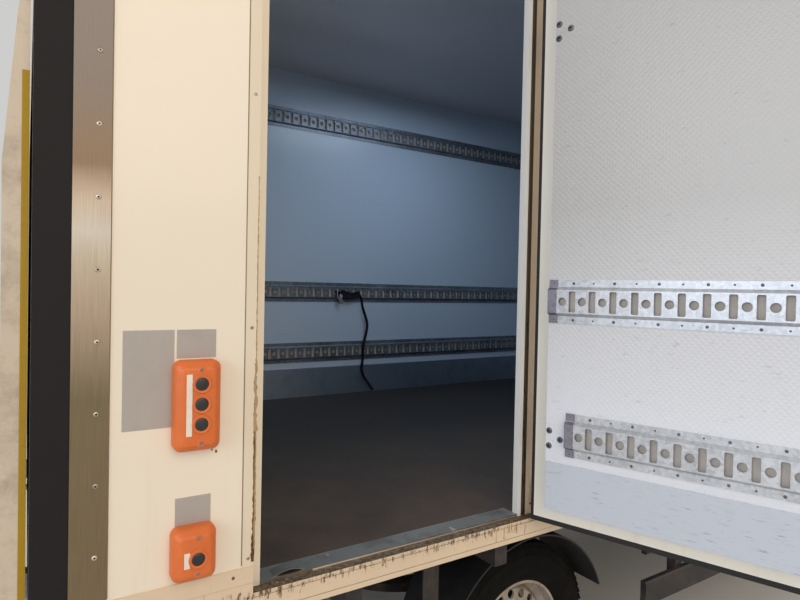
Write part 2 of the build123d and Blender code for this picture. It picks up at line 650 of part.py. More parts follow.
def make_handle_cup():
    """The hollow behind the left door's handle."""
    x = DOOR_REAR_X + 60
    cup = block(x, x + HANDLE_LENGTH, CAB_HALF_WIDTH - 26, CAB_HALF_WIDTH + 60, HANDLE_Z - 32, HANDLE_Z + 32)
    return fillet(cup.edges().filter_by(Axis.Y), 22)


def make_handle():
    """The left door's grip, across its hollow."""
    x = DOOR_REAR_X + 60
    grip = block(x - 22, x + HANDLE_LENGTH + 22, CAB_HALF_WIDTH - 9, CAB_HALF_WIDTH + 16, HANDLE_Z - 12, HANDLE_Z + 14)
    return fillet(grip.edges().filter_by(Axis.X), 7)


def make_mirror():
    """The left door mirror: a housing on two arms that leave the door below the window's front."""
    x = DOOR_FRONT_X - 10
    housing = block(x - 70, x + 15, CAB_HALF_WIDTH + 50, CAB_HALF_WIDTH + 235, 1470, 1790)
    housing = fillet(housing.edges(), 28)
    arms = None
    for z in (1400.0, 1425.0):
        arm = rod((x - 30, CAB_HALF_WIDTH - 22, z), (x - 30, CAB_HALF_WIDTH + 130, z + 90), 11)
        arms = arm if arms is None else arms + arm
    return housing + arms


def make_bumper_cut():
    """The space in front that the bumper's plastic shell takes out of the cab's form."""
    return block(BUMPER_REAR_X, 3400, -1200, 1200, 200, BUMPER_TOP_Z)


def make_bumper_recesses():
    """The blind slots of the bumper's lower intake, and the pocket of its left fog lamp."""
    front = cab_body(-10.0) - cab_body(RECESS)
    slots = None
    for z in BUMPER_SLOT_ZS:
        slot = block(2950, 3400, -430, 430, z, z + BUMPER_SLOT)
        slots = slot if slots is None else slots + slot
    pocket = rod((2950, FOG_LAMP_Y, FOG_LAMP_Z), (3400, FOG_LAMP_Y, FOG_LAMP_Z), FOG_LAMP_RADIUS)
    lens = rod((2950, FOG_LAMP_Y, FOG_LAMP_Z), (3400, FOG_LAMP_Y, FOG_LAMP_Z), FOG_LAMP_RADIUS - 0.3)
    return front & slots, front & pocket, (cab_body(5.0) - cab_body(RECESS)) & lens


# Box body

def hat_rail(length):
    """A load rail along X with its back on the plane y = 0 and its face towards -Y, centred on the origin."""
    half = RAIL_HEIGHT / 2
    neck = half - RAIL_FLANGE
    crown = neck - RAIL_DEPTH * 0.55
    t = RAIL_SHEET
    outline = Polyline(
        (0, -half), (0, half), (-t, half), (-t, neck), (-RAIL_DEPTH, crown), (-RAIL_DEPTH, -crown),
        (-t, -neck), (-t, -half), close=True)
    hollow = make_face(Polyline((0, neck - 3), (-RAIL_DEPTH + t, crown - 2),
                                (-RAIL_DEPTH + t, -crown + 2), (0, -neck + 3), close=True))
    section = make_face(outline) - hollow
    return extrude(Plane.YZ * section, length / 2, both=True)


def pierced_rail(length, round_holes=True):
    """A load rail with its slots, and the round holes between them."""
    rail = hat_rail(length)
    count = int((length - 2 * RAIL_END_GAP) // RAIL_PITCH)
    start = -(count - 1) / 2 * RAIL_PITCH
    cuts = []
    for i in range(count):
        x = start + i * RAIL_PITCH
        cuts.append(Pos(x, -RAIL_DEPTH + RAIL_SHEET / 2, 0) * Box(SLOT_WIDTH, RAIL_SHEET + 2, SLOT_HEIGHT))
        if round_holes and i:
            hole = Rotation(90, 0, 0) * Cylinder(ROUND_HOLE_RADIUS, RAIL_SHEET + 2)
            cuts.append(Pos(x - RAIL_PITCH / 2, -RAIL_DEPTH + RAIL_SHEET / 2, 0) * hole)
    return rail - cuts


def make_box():
    """The insulated panels, and the aluminium and stainless sections that join them."""
    half = BOX_WIDTH / 2
    inner = half - WALL
    rear = BOX_REAR_X + POST_DEPTH
    front = BOX_FRONT_X
    floor = block(rear, front - WALL, -inner, inner, BOX_BASE_Z, FLOOR_Z)
    for plate in (*make_kick_plates(), make_threshold()):
        floor -= plate
    roof = block(rear, front, -half, half, CEILING_Z, CEILING_Z + ROOF)
    wall = block(rear, front - WALL, inner, half, SIDE_RAIL_TOP_Z, CEILING_Z)
    front_wall = block(front - WALL, front, -half, half, BOX_BASE_Z, CEILING_Z)
    rail = block(rear, front - WALL, inner, half + TRIM, BOX_BASE_Z, SIDE_RAIL_TOP_Z)
    for z in SIDE_RAIL_GROOVE_ZS:
        rail -= block(rear - 1, front, half + TRIM - 1.5, half + TRIM + 1, z - 1.5, z + 1.5)
    top = CEILING_Z + ROOF
    corner = block(rear, front, half, half + TRIM, CEILING_Z - TRIM_OVERLAP, top + TRIM)
    corner += block(rear, front, half - TRIM_OVERLAP, half + TRIM, top, top + TRIM)
    corner = fillet(corner.edges().filter_by(Axis.X).sort_by(Axis.Z)[-2:].sort_by(Axis.Y)[-1:], 2.5)
    nose = block(front, front + TRIM, half - TRIM_OVERLAP, half + TRIM, BOX_BASE_Z, top + TRIM)
    return floor, roof, wall, front_wall, rail, corner, nose


def load_side_span():
    """The lengthwise span of the load rails and kick plates, clear of the frame and the front wall."""
    return BOX_REAR_X + POST_DEPTH + RAIL_END_GAP, BOX_FRONT_X - WALL - RAIL_END_GAP


def make_kick_plates():
    """The bright sheets along the foot of both side walls, let into the floor; the right one stops at the door."""
    x0, x1 = load_side_span()
    inner = BOX_WIDTH / 2 - WALL
    left = block(x0, x1, inner - KICK_SHEET, inner, FLOOR_Z - KICK_REBATE, FLOOR_Z + KICK_HEIGHT)
    gap = block(SIDE_DOOR_REAR_X - 6, SIDE_DOOR_REAR_X + SIDE_DOOR_WIDTH + 6, -1300, -900, 850, 2900)
    return left, mirrored(left) - gap


def make_rear_frame():
    """The stainless portal at the back: posts, header and sill."""
    half = BOX_WIDTH / 2 + TRIM
    x0, x1 = BOX_REAR_X, BOX_REAR_X + POST_DEPTH
    top = CEILING_Z + ROOF + TRIM
    frame = block(x0, x1, -half, half, BOX_BASE_Z, top)
    frame -= block(x0 - 1, x1 + 1, -(half - POST_WIDTH), half - POST_WIDTH, FLOOR_Z, CEILING_Z - 20)
    return frame


def door_span():
    """The side door's outer slab, as x0, x1, z0, z1."""
    return (SIDE_DOOR_REAR_X, SIDE_DOOR_REAR_X + SIDE_DOOR_WIDTH, SIDE_DOOR_BOTTOM_Z, SIDE_DOOR_TOP_Z)


def side_opening():
    """What the right wall, its lower rail and its load rails lose to the side door."""
    x0, x1, z0, z1 = door_span()
    c = SIDE_DOOR_CLEARANCE
    half = BOX_WIDTH / 2
    return block(x0 - c, x1 + c, -half - 60, -half + WALL + 60, z0 - c, z1 + c)


def doorway_inside():
    """The doorway between the inner stops, as x0, x1 and the head's height."""
    x0, x1, z0, z1 = door_span()
    c = SIDE_DOOR_CLEARANCE
    return x0 + LATCH_REBATE - c, x1 - HINGE_REBATE + c, z1 - HEAD_REBATE + c


def make_door_frame():
    """The jambs and head round the side door: outer flanges, inner stops and the hinge side's seal groove."""
    x0, x1, z0, z1 = door_span()
    c = SIDE_DOOR_CLEARANCE
    half = BOX_WIDTH / 2
    left, right, top = x0 - c, x1 + c, z1 + c
    in_left, in_right, in_top = doorway_inside()
    out_y0, out_y1 = -half - FRAME_PROUD, -half
    stop_y0, stop_y1 = -half + SIDE_DOOR_SLAB, -half + WALL
    foot = z0 - c
    bars = [
        block(left - FRAME_FLANGE, left, out_y0, out_y1, SIDE_RAIL_TOP_Z, top + FRAME_FLANGE),
        block(right, right + FRAME_FLANGE, out_y0, out_y1, SIDE_RAIL_TOP_Z, top + FRAME_FLANGE),
        block(left, right, out_y0, out_y1, top, top + FRAME_FLANGE),
        block(left, in_left, stop_y0, stop_y1, foot, top),
        block(in_left, in_right, stop_y0, stop_y1, in_top, top),
    ]
    hinge_stop = block(in_right, right, stop_y0, stop_y1, foot, top)
    groove_x = in_right + JAMB_GROOVE_INSET
    hinge_stop -= block(groove_x, groove_x + JAMB_GROOVE_WIDTH, stop_y0 - 1, stop_y0 + JAMB_GROOVE_DEPTH,
                        foot - 1, top + 1)
    return bars + [hinge_stop]


def make_threshold():
    """The bright tread plate along the side door's sill, stepped down onto the lower rail."""
    z0 = door_span()[2]
    x0, x1, head = doorway_inside()
    half = BOX_WIDTH / 2
    y_out = -half + SIDE_DOOR_SLAB
    plate = block(x0, x1, y_out, y_out + THRESHOLD_WIDTH, FLOOR_Z - THRESHOLD_SHEET, FLOOR_Z)
    plate += block(x0, x1, y_out, -half + WALL, z0 - SIDE_DOOR_CLEARANCE, FLOOR_Z - 1)
    return plate


def side_door_pieces():
    """The side door's pieces in the closed position."""
    x0, x1, z0, z1 = door_span()
    half = BOX_WIDTH / 2
    out_y = -half
    mid_y = out_y + SIDE_DOOR_SLAB
    in_y = mid_y + SIDE_DOOR_PLUG
    s, foot = SEAL_BAND, SEAL_FOOT
    slab = block(x0 + s, x1 - s, out_y, mid_y, z0 + foot, z1 - s)
    plug_x0, plug_x1 = x0 + LATCH_REBATE + PLUG_CLEARANCE, x1 - HINGE_REBATE
    plug_z0, plug_z1 = z0 + SIDE_DOOR_PLUG_RISE, z1 - HEAD_REBATE - PLUG_CLEARANCE
    plug = block(plug_x0, plug_x1, mid_y, in_y, plug_z0, plug_z1)
    panel = slab + plug
    seal = block(x0, x1, out_y + 2, mid_y - SEAL_SET_BACK, z0, z1)
    seal -= block(x0 + s, x1 - s, out_y, in_y, z0 + foot, z1 - s)
    rails = []
    for z, inset in ((RAIL_CENTRE_ZS[1], 2.0), (RAIL_CENTRE_ZS[0], 64.0)):
        length = plug_x1 - plug_x0 - 2 * inset
        rail = Rotation(0, 0, 180) * pierced_rail(length)
        rails.append(Pos((plug_x0 + plug_x1) / 2, in_y, z) * rail)
    kick = block(plug_x0 + 2, plug_x1 - 2, in_y, in_y + KICK_SHEET, plug_z0 + 2, FLOOR_Z + KICK_HEIGHT)
    leaves = []
    for z in HINGE_ZS:
        pin_x, pin_y = hinge_axis()
        strap = block(pin_x - 145, pin_x - 4, out_y - 6, out_y, z - 31.7, z + 31.7)
        knuckle = rod((pin_x, pin_y, z - 31.7), (pin_x, pin_y, z + 31.7), HINGE_KNUCKLE)
        leaves.append(strap + knuckle)
    lock_x = x0 + 95
    lock_rod = rod((lock_x, out_y - 24, z0 + 30), (lock_x, out_y - 24, z1 - 30), LOCK_ROD_RADIUS)
    guides = None
    for z in (z0 + 60, z0 + 480, (z0 + z1) / 2 + 200, z1 - 60):
        guide = block(lock_x - 32, lock_x + 32, out_y - 38, out_y, z - 22, z + 22)
        guides = guide if guides is None else guides + guide
    handle = block(lock_x - 14, lock_x + 330, out_y - 46, out_y - 34, 1500, 1532)
    handle += block(lock_x + 280, lock_x + 320, out_y - 40, out_y, 1490, 1542)
    handle += block(lock_x - 18, lock_x + 18, out_y - 46, out_y - 20, 1490, 1542)
    hardware = group(lock_rod + guides + handle, *leaves)
    return panel, seal, group(*rails), kick, hardware


def hinge_axis():
    """Where the side door turns, in plan."""
    return SIDE_DOOR_REAR_X + SIDE_DOOR_WIDTH - HINGE_INSET, -BOX_WIDTH / 2 - HINGE_OUT


def open_side_door(shape):
    """The side door's pieces turned open about the hinge line."""
    x, y = hinge_axis()
    return Pos(x, y, 0) * (Rotation(0, 0, SIDE_DOOR_OPEN_DEG) * (Pos(-x, -y, 0) * shape))


def make_frame_hinges():
    """The side door hinges' fixed halves, above and below the door's knuckles."""
    x, y = hinge_axis()
    half = BOX_WIDTH / 2
    halves = []
    out_y = -half - FRAME_PROUD
    for z in HINGE_ZS:
        for z0, z1 in ((z - 62, z - 32), (z + 32, z + 62)):
            halves.append(rod((x, y, z0), (x, y, z1), HINGE_KNUCKLE) + block(x, x + 30, out_y - 6, out_y, z0, z1))
        halves.append(block(x + 12, x + 95, out_y - 6, out_y, z - 62, z + 62))
    joined = halves[0]
    for piece in halves[1:]:
        joined = joined + piece
    return joined


# Rear doors and tail lift

def make_rear_doors():
    """Two closed leaves with a dark edge section round each, and a lock rod sunk in each leaf."""
    x1 = BOX_REAR_X - REAR_DOOR_GAP
    x0 = x1 - REAR_DOOR
    half = BOX_WIDTH / 2
    z0, z1 = BOX_BASE_Z + 30, CEILING_Z + ROOF - 6
    e = REAR_DOOR_EDGE
    panel = block(x0, x1, 4 + e, half - e, z0 + e, z1 - e)
    lock_y = 140.0
    panel -= block(x0 - 1, x0 + LOCK_CHANNEL_DEPTH, lock_y - LOCK_CHANNEL / 2, lock_y + LOCK_CHANNEL / 2, z0, z1)
    edge = block(x0, x1, 4, half, z0, z1) - block(x0 - 1, x1 + 1, 4 + e, half - e, z0 + e, z1 - e)
    bar = rod((x0 + 15, lock_y, z0 + e + 2), (x0 + 15, lock_y, z1 - e - 2), LOCK_ROD_RADIUS)
    for z in (z0 + 120, z0 + 760, z0 + 1400, z1 - 120):
        bar += block(x0 + 4, x0 + LOCK_CHANNEL_DEPTH, lock_y - 24, lock_y + 24, z - 20, z + 20)
    return panel, edge, bar


def make_platform():
    """The tail lift's platform, upright: a plank with a ramp at its tip and lugs under its heel."""
    x_in = BOX_REAR_X - REAR_DOOR_GAP - REAR_DOOR - PLATFORM_GAP
    x_out = x_in - PLATFORM_THICKNESS
    px, pz = LIFT_HEAD_PIVOT
    z0 = pz + 30
    z1 = z0 + PLATFORM_LENGTH
    half = PLATFORM_WIDTH / 2
    deck = plate_xz([(x_in, z0), (x_out, z0), (x_out, z1 - PLATFORM_RAMP), (x_in - PLATFORM_TIP, z1), (x_in, z1)],
                    -half, half)
    notch_out = LIFT_ARM_Y + LIFT_ARM_WIDTH / 2 + 16
    notch_in = LIFT_ARM_Y - LIFT_ARM_WIDTH / 2 - 16
    notch = block(x_out - 1, x_in + 1, notch_in, notch_out, z0 - 1, z0 + 46)
    lug_outline = [(x_out + 2, z0 + 2), (x_out + 2, z0 + 110), (px - 25, pz + 14), (px - 25, pz - 14),
                   (px - 12, pz - 25), (px + 12, pz - 25), (px + 25, pz - 14)]
    lugs = None
    for y0 in (lift_lug_y() - LIFT_PLATE, lift_head_y() + LIFT_PLATE + 3):
        lug = plate_xz(lug_outline, y0, y0 + LIFT_PLATE)
        lug -= across(px, y0 - 1, y0 + LIFT_PLATE + 1, pz, LIFT_PIN + PIN_CLEARANCE)
        lugs = lug if lugs is None else lugs + lug
    return deck - both_sides(notch) + both_sides(lugs)


def lift_head_y():
    """Inner side of the head's outer plate."""
    return LIFT_ARM_Y + LIFT_ARM_WIDTH / 2 + 3


def lift_link_y():
    """Outer side of the head's inner plate."""
    return LIFT_LINK_Y - LIFT_LINK_WIDTH / 2 - 3


def lift_lug_y():
    """Outer side of the platform's inner lug."""
    return lift_link_y() - LIFT_PLATE - 3


def make_lift():
    """The tail lift's frame, arms, parallel links and head."""
    (ax, az), (hx, hz) = LIFT_PIVOT, LIFT_HEAD_PIVOT
    ox, oz = LIFT_LINK_OFFSET
    sx, sz, ex, ez = ax + ox, az + oz, hx + ox, hz + oz
    b = LIFT_BEAM / 2
    beam_x = ax + 120
    head_y, link_y = lift_head_y(), lift_link_y()
    reach = BOX_WIDTH / 2 - 140
    frame = block(beam_x - b, beam_x + b, -reach, reach, az - b, az + b)
    hanger = plate_xz([(beam_x - 60, az + 20), (beam_x + 40, az + 20), (beam_x + 55, CHASSIS_RAIL_TOP_Z - 20),
                       (beam_x - 80, CHASSIS_RAIL_TOP_Z - 20)], RAIL_OUTER_Y, RAIL_OUTER_Y + LIFT_PLATE)
    ear = [(ax - 26, az + 26), (ax - 28, az - 20), (sx - 24, sz - 24), (sx + 26, sz - 24),
           (beam_x + 10, az - b + 1), (beam_x + 10, az + b - 1), (ax + 40, az + b - 1)]
    frame += both_sides(hanger + plate_xz(ear, head_y, head_y + LIFT_PLATE)
                        + plate_xz(ear, link_y - LIFT_PLATE, link_y))
    pins = across(ax, link_y - 2, head_y + 2, az, LIFT_PIN)
    pins += across(sx, link_y - 2, head_y + 2, sz, LIFT_PIN)
    bar_x, end = BOX_REAR_X + 44, BOX_WIDTH / 2 - 80
    bar = block(bar_x, bar_x + 60, end - 360, end, 420, 520)
    strut = bar_xz((beam_x - b + 4, az), (bar_x + 40, 470), 26, end - 300, end - 260)
    frame += both_sides(pins + bar + strut)

    arm = bar_xz((ax, az), (hx, hz), 32, LIFT_ARM_Y - LIFT_ARM_WIDTH / 2, LIFT_ARM_Y + LIFT_ARM_WIDTH / 2)
    mid = (ax * 0.85 + hx * 0.15 + 6, az * 0.85 + hz * 0.15 + 10)
    arms = both_sides(arm) + across(mid[0], -LIFT_ARM_Y, LIFT_ARM_Y, mid[1], 30)
    for x, z in (LIFT_PIVOT, LIFT_HEAD_PIVOT):
        arms -= across(x, -700, 700, z, LIFT_PIN + PIN_CLEARANCE)

    y0, y1 = LIFT_LINK_Y - LIFT_LINK_WIDTH / 2, LIFT_LINK_Y + LIFT_LINK_WIDTH / 2
    share = 0.55
    mx, mz = sx + (ex - sx) * share, sz + (ez - sz) * share
    link = rod((sx, LIFT_LINK_Y, sz), (mx, LIFT_LINK_Y, mz), 17)
    link += rod((mx, LIFT_LINK_Y, mz), (ex, LIFT_LINK_Y, ez), 11)
    link += across(sx, y0, y1, sz, 26) + across(ex, y0, y1, ez, 24)
    link -= across(sx, y0 - 1, y1 + 1, sz, LIFT_PIN + PIN_CLEARANCE)
    link -= across(ex, y0 - 1, y1 + 1, ez, LIFT_PIN + 2)
    links = both_sides(link)

    inner_plate, outer_plate = link_y - LIFT_PLATE, head_y + LIFT_PLATE
    head = bar_xz((hx, hz), (ex, ez), 26, head_y, outer_plate) + bar_xz((hx, hz), (ex, ez), 26, inner_plate, link_y)
    head += across(hx, lift_lug_y() - LIFT_PLATE - 2, outer_plate + LIFT_PLATE + 5, hz, LIFT_PIN)
    head += across(ex, 0, outer_plate, ez, LIFT_PIN)
    heads = both_sides(head)
    return frame, arms, links, heads


# Small outer pieces

def make_controls():
    """The tail lift's two control boxes on the right wall, by the rear post."""
    half = BOX_WIDTH / 2
    middle = (BOX_REAR_X + POST_DEPTH + SIDE_DOOR_REAR_X) / 2 + CONTROL_SHIFT
    boxes = []
    table = (
        # rear side and front side from the middle, base, top, button heights
        (-50.0, 50.0, 1277.0, 1477.0, (1427.0, 1383.0, 1339.0)),
        (-50.0, 45.0, 990.0, 1109.0, (1044.0,)),
    )
    for rear, front, z0, z1, buttons in table:
        x0, x1 = middle + rear, middle + front
        body = block(x0, x1, -half - 42, -half, z0, z1)
        body = fillet(body.edges().filter_by(Axis.Y), 18)
        body = fillet(body.faces().sort_by(Axis.Y)[0].edges(), 12)
        bx = (x0 + x1) / 2 + 4
        for z in buttons:
            body -= rod((bx, -half - 60, z), (bx, -half - 37, z), 18)
            body += rod((bx, -half - 41, z), (bx, -half - 30, z), 15)
        boxes.append(body)
    return group(*boxes)


def make_refrigeration():
    """The cooling unit on the box's front wall over the cab, and its fan coil inside under the ceiling."""
    x0 = BOX_FRONT_X
    base_z, top_z = UNIT_BASE_Z, CEILING_Z - 45
    unit = block(x0, x0 + 430, -720, 720, base_z, top_z)
    unit = fillet(unit.edges().filter_by(Axis.Z).sort_by(Axis.X)[-2:], 110)
    unit = fillet(unit.faces().sort_by(Axis.X)[-1].edges().filter_by(Axis.Y), 60)
    for i in range(int((top_z - base_z - 150) // UNIT_SLAT)):
        z = base_z + 60 + i * UNIT_SLAT
        unit -= block(x0 + 405, x0 + 440, -520, 520, z, z + 16)
    coil_x1 = BOX_FRONT_X - WALL
    coil = block(coil_x1 - 420, coil_x1, -480, 480, CEILING_Z - 190, CEILING_Z)
    coil = fillet(coil.edges().filter_by(Axis.Y).sort_by(Axis.Z)[:1], 40)
    for y in (-250, 250):
        coil -= rod((coil_x1 - 450, y, CEILING_Z - 100), (coil_x1 - 380, y, CEILING_Z - 100), 78)
    return group(unit, coil)


def make_rear_lamps():
    """The rear lamp bars under the box's back corners, with their brackets."""
    half = BOX_WIDTH / 2
    inner = LIFT_ARM_Y + LIFT_ARM_WIDTH / 2 + REAR_LAMP_CLEARANCE
    lamp = block(BOX_REAR_X + 6, BOX_REAR_X + 66, inner, half - 60, 700, 800)
    lamp = fillet(lamp.edges().filter_by(Axis.X), 14)
    bracket = block(BOX_REAR_X + 40, BOX_REAR_X + 60, inner + 70, half - 130, 798, BOX_BASE_Z)
    return both_sides(lamp + bracket)


def make_seats():
    """A driver's seat on the left and a double passenger seat, each with its plinth."""
    seats = []
    for y0, y1 in ((230, 700), (-760, 90)):
        cushion = block(1050, 1530, y0, y1, CAB_FLOOR_Z + 310, CAB_FLOOR_Z + 430)
        cushion = fillet(cushion.edges(), 30)
        back = Pos(1060, (y0 + y1) / 2, CAB_FLOOR_Z + 700) * (Rotation(0, -12, 0) * Box(120, y1 - y0, 640))
        back = fillet(back.edges(), 30)
        plinth = block(1090, 1480, y0 + 60, y1 - 60, CAB_FLOOR_Z + CAB_FLOOR, CAB_FLOOR_Z + 330)
        seat = cushion + back + plinth
        rests = ((y0 + y1) / 2,) if y0 > 0 else (y0 + 220, y1 - 220)
        for y in rests:
            rest = Pos(985, y, CAB_FLOOR_Z + 1090) * (Rotation(0, -12, 0) * Box(90, 260, 190))
            rest = fillet(rest.edges(), 28)
            seat += rest
            seat += rod((1000, y, CAB_FLOOR_Z + 940), (985, y, CAB_FLOOR_Z + 1060), 12)
        seats.append(seat)
    return group(*seats)


def make_dashboard():
    """The dashboard across the cab under the windscreen, with the steering wheel and its column."""
    room = cab_body(CAB_WALL + 3)
    top = room & block(1930, FIREWALL_X, -900, 900, CAB_FLOOR_Z + 330, 1390)
    console = block(1990, 2180, -140, 140, CAB_FLOOR_Z + CAB_FLOOR, CAB_FLOOR_Z + 340)
    dash = top + console
    tilt = 42.0
    wheel_x, wheel_y, wheel_z = 1720.0, 465.0, 1335.0
    ring = Torus(185, 15)
    for a in (0, 120, 240):
        ring += Rotation(0, 0, a) * (Pos(92, 0, -6) * Box(184, 34, 14))
    ring += Cylinder(52, 30)
    wheel = Pos(wheel_x, wheel_y, wheel_z) * (Rotation(0, -tilt, 0) * ring)
    reach = 380.0
    end = (wheel_x + sin(radians(tilt)) * reach, wheel_y, wheel_z - cos(radians(tilt)) * reach)
    column = rod((wheel_x, wheel_y, wheel_z), end, 32)
    return dash + wheel + column


def main():
    nodes = {}
    nodes.update(wheel_nodes())

    nodes["chassis_frame"] = make_chassis_frame()
    nodes["body_subframe"] = make_body_subframe()
    nodes["fuel_tank"] = make_fuel_tank()
    nodes["rear_mudguards"] = make_mudguards()
    nodes["front_axle"] = make_front_axle()
    nodes["rear_axle"] = make_rear_axle()
    nodes["engine_and_exhaust"] = group(make_engine() - nodes["rear_axle"], make_exhaust())
    nodes["knuckle_left"] = make_knuckle()
    nodes["knuckle_right"] = mirrored(make_knuckle())

    shell, door, screen, door_glass, quarter_glass = make_cab()
    bumper_cut = make_bumper_cut()
    slots, fog_pocket, fog_lamp = make_bumper_recesses()
    bumper = (shell & bumper_cut) - slots - both_sides(fog_pocket)
    shell = shell - bumper_cut
    lamp_cut = block(2860, 3400, 560, 1200, 880, 1085)
    lamps = (cab_body(1.0) - cab_body(70)) & lamp_cut
    grille_cut = block(2900, 3400, -520, 520, 830, 1060)
    grille = (cab_body(4.0) - cab_body(30)) & grille_cut
    for i in range(5):
        z = 860 + i * 40
        grille -= block(2900, 3400, -490, 490, z, z + 18)
    shell = shell - both_sides(lamp_cut) - grille_cut
    nodes["cab_shell"] = shell
    nodes["front_bumper"] = bumper
    nodes["headlamps"] = group(lamps, mirrored(lamps), fog_lamp, mirrored(fog_lamp))
    nodes["grille"] = grille
    mirror_piece = make_mirror() - door - door_glass
    nodes["cab_door_left"] = door
    nodes["cab_door_right"] = mirrored(door)
    nodes["door_mirror_left"] = mirror_piece
    nodes["door_mirror_right"] = mirrored(mirror_piece)
    nodes["windscreen"] = group(screen, quarter_glass, mirrored(quarter_glass))
    nodes["door_glass_left"] = door_glass
    nodes["door_glass_right"] = mirrored(door_glass)
    nodes["seats"] = make_seats()
    nodes["dashboard"] = make_dashboard()

    floor, roof, wall, front_wall, rail, corner, nose = make_box()
    opening = side_opening()
    nodes["box_floor"] = floor
    nodes["box_roof"] = roof
    nodes["box_wall_left"] = wall
    nodes["box_wall_right"] = mirrored(wall) - opening
    nodes["box_wall_front"] = front_wall
    right_rail = mirrored(rail) - opening
    cuts = (BOX_REAR_X + POST_DEPTH, SIDE_DOOR_REAR_X - SIDE_DOOR_CLEARANCE,
            SIDE_DOOR_REAR_X + SIDE_DOOR_WIDTH + SIDE_DOOR_CLEARANCE, BOX_FRONT_X)
    lengths = [right_rail & block(a, b, -BOX_WIDTH, 0, 0, SIDE_RAIL_TOP_Z + 1) for a, b in zip(cuts, cuts[1:])]
    nodes["box_side_rails"] = group(rail, *lengths)
    nodes["box_corner_trim"] = group(corner, mirrored(corner), nose, mirrored(nose))
    nodes["rear_frame"] = make_rear_frame()
    nodes["side_door_frame"] = group(*make_door_frame(), make_frame_hinges())

    inner = BOX_WIDTH / 2 - WALL
    x0, x1 = load_side_span()
    wall_rails = []
    for z in RAIL_CENTRE_ZS:
        rail_left = Pos((x0 + x1) / 2, inner, z) * hat_rail(x1 - x0)
        wall_rails.append(rail_left)
        gap = block(SIDE_DOOR_REAR_X - 60, SIDE_DOOR_REAR_X + SIDE_DOOR_WIDTH + 60, -1300, -900, 900, 2900)
        wall_rails.append(mirrored(rail_left) - gap)
    nodes["wall_rails"] = group(*wall_rails)
    nodes["kick_plates"] = group(*make_kick_plates(), make_threshold())

    panel, seal, rails, door_kick, hardware = side_door_pieces()
    nodes["side_door_panel"] = open_side_door(panel)
    nodes["side_door_seal"] = open_side_door(seal)
    nodes["side_door_rails"] = open_side_door(group(rails, door_kick))
    nodes["side_door_hardware"] = open_side_door(hardware)

    panel, edge, bar = make_rear_doors()
    nodes["rear_doors"] = group(panel, mirrored(panel))
    nodes["rear_door_edges"] = group(edge, mirrored(edge))
    nodes["rear_door_locks"] = group(bar, mirrored(bar))
    frame, arms, links, heads = make_lift()
    nodes["lift_frame"] = frame
    nodes["lift_arms"] = arms
    nodes["lift_links"] = links
    nodes["lift_head"] = heads
    nodes["lift_platform"] = make_platform()
    nodes["lift_controls"] = make_controls()
    nodes["refrigeration_unit"] = make_refrigeration()
    nodes["rear_lamps"] = make_rear_lamps()

    os.makedirs("parts", exist_ok=True)
    for name, shape in nodes.items():
        export_step(shape, f"parts/{name}.step")


main()
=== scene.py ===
"""The looks of a refrigerated box truck, parked with its cargo side door open."""
import math
import random

import bmesh
import bpy
from mathutils import Matrix, Vector


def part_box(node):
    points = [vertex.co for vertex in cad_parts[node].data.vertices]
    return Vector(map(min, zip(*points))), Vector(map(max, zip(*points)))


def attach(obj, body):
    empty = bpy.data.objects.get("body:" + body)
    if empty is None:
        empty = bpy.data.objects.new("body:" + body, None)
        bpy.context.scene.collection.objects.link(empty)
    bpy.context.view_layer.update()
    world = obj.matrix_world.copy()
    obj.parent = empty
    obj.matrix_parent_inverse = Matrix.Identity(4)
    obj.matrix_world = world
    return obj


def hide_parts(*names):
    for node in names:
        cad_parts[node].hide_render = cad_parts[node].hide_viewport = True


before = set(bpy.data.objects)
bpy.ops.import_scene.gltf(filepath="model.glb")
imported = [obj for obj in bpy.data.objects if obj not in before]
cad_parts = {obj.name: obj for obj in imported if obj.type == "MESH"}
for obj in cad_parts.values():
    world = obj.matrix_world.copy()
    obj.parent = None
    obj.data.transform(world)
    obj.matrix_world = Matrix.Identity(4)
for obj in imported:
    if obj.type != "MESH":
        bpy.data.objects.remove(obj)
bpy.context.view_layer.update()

MM = 0.001


def bound(node, end, axis):
    """A node's low (0) or high (1) bound along an axis, to a tenth of a millimetre."""
    return round(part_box(node)[end]["xyz".index(axis)], 4)


def middle_of(node, axis):
    """The place of a node's middle along an axis."""
    return round((bound(node, 0, axis) + bound(node, 1, axis)) / 2, 4)


# Places and sizes in metres, read from the solids.
BOX_HALF = bound("box_wall_left", 1, "y")
BOX_FRONT = bound("box_wall_front", 1, "x")
WALL = round(BOX_FRONT - bound("box_wall_front", 0, "x"), 4)
FLOOR_TOP = bound("box_floor", 1, "z")
CEILING = bound("box_roof", 0, "z")
POST_FRONT = bound("rear_frame", 1, "x")
REAR_AXLE = middle_of("tyre_rear_left", "x")
FRONT_AXLE = middle_of("tyre_front_left", "x")
TYRE_RADIUS = middle_of("tyre_front_left", "z")

# The side doorway, its door and the load rails, in metres, as the solids have them.
DOOR_REAR = -3.247
DOOR_FRONT = -2.310
DOOR_TOP = 2.765
DOOR_INNER = 0.062
HINGE = (-2.3145, -1.1484)
OPEN_ANGLE = math.radians(108.7)
RAIL_HEIGHT = 0.130
RAIL_DEPTH = 0.014
RAIL_PITCH = 0.060
WALL_RAIL_HEIGHTS = (1.216, 1.616, 2.733)


# Node helpers

def linear(code):
    """An sRGB hex colour as linear RGBA."""
    channels = [int(code[i:i + 2], 16) / 255 for i in (1, 3, 5)]
    return [c / 12.92 if c <= 0.04045 else ((c + 0.055) / 1.055) ** 2.4 for c in channels] + [1.0]


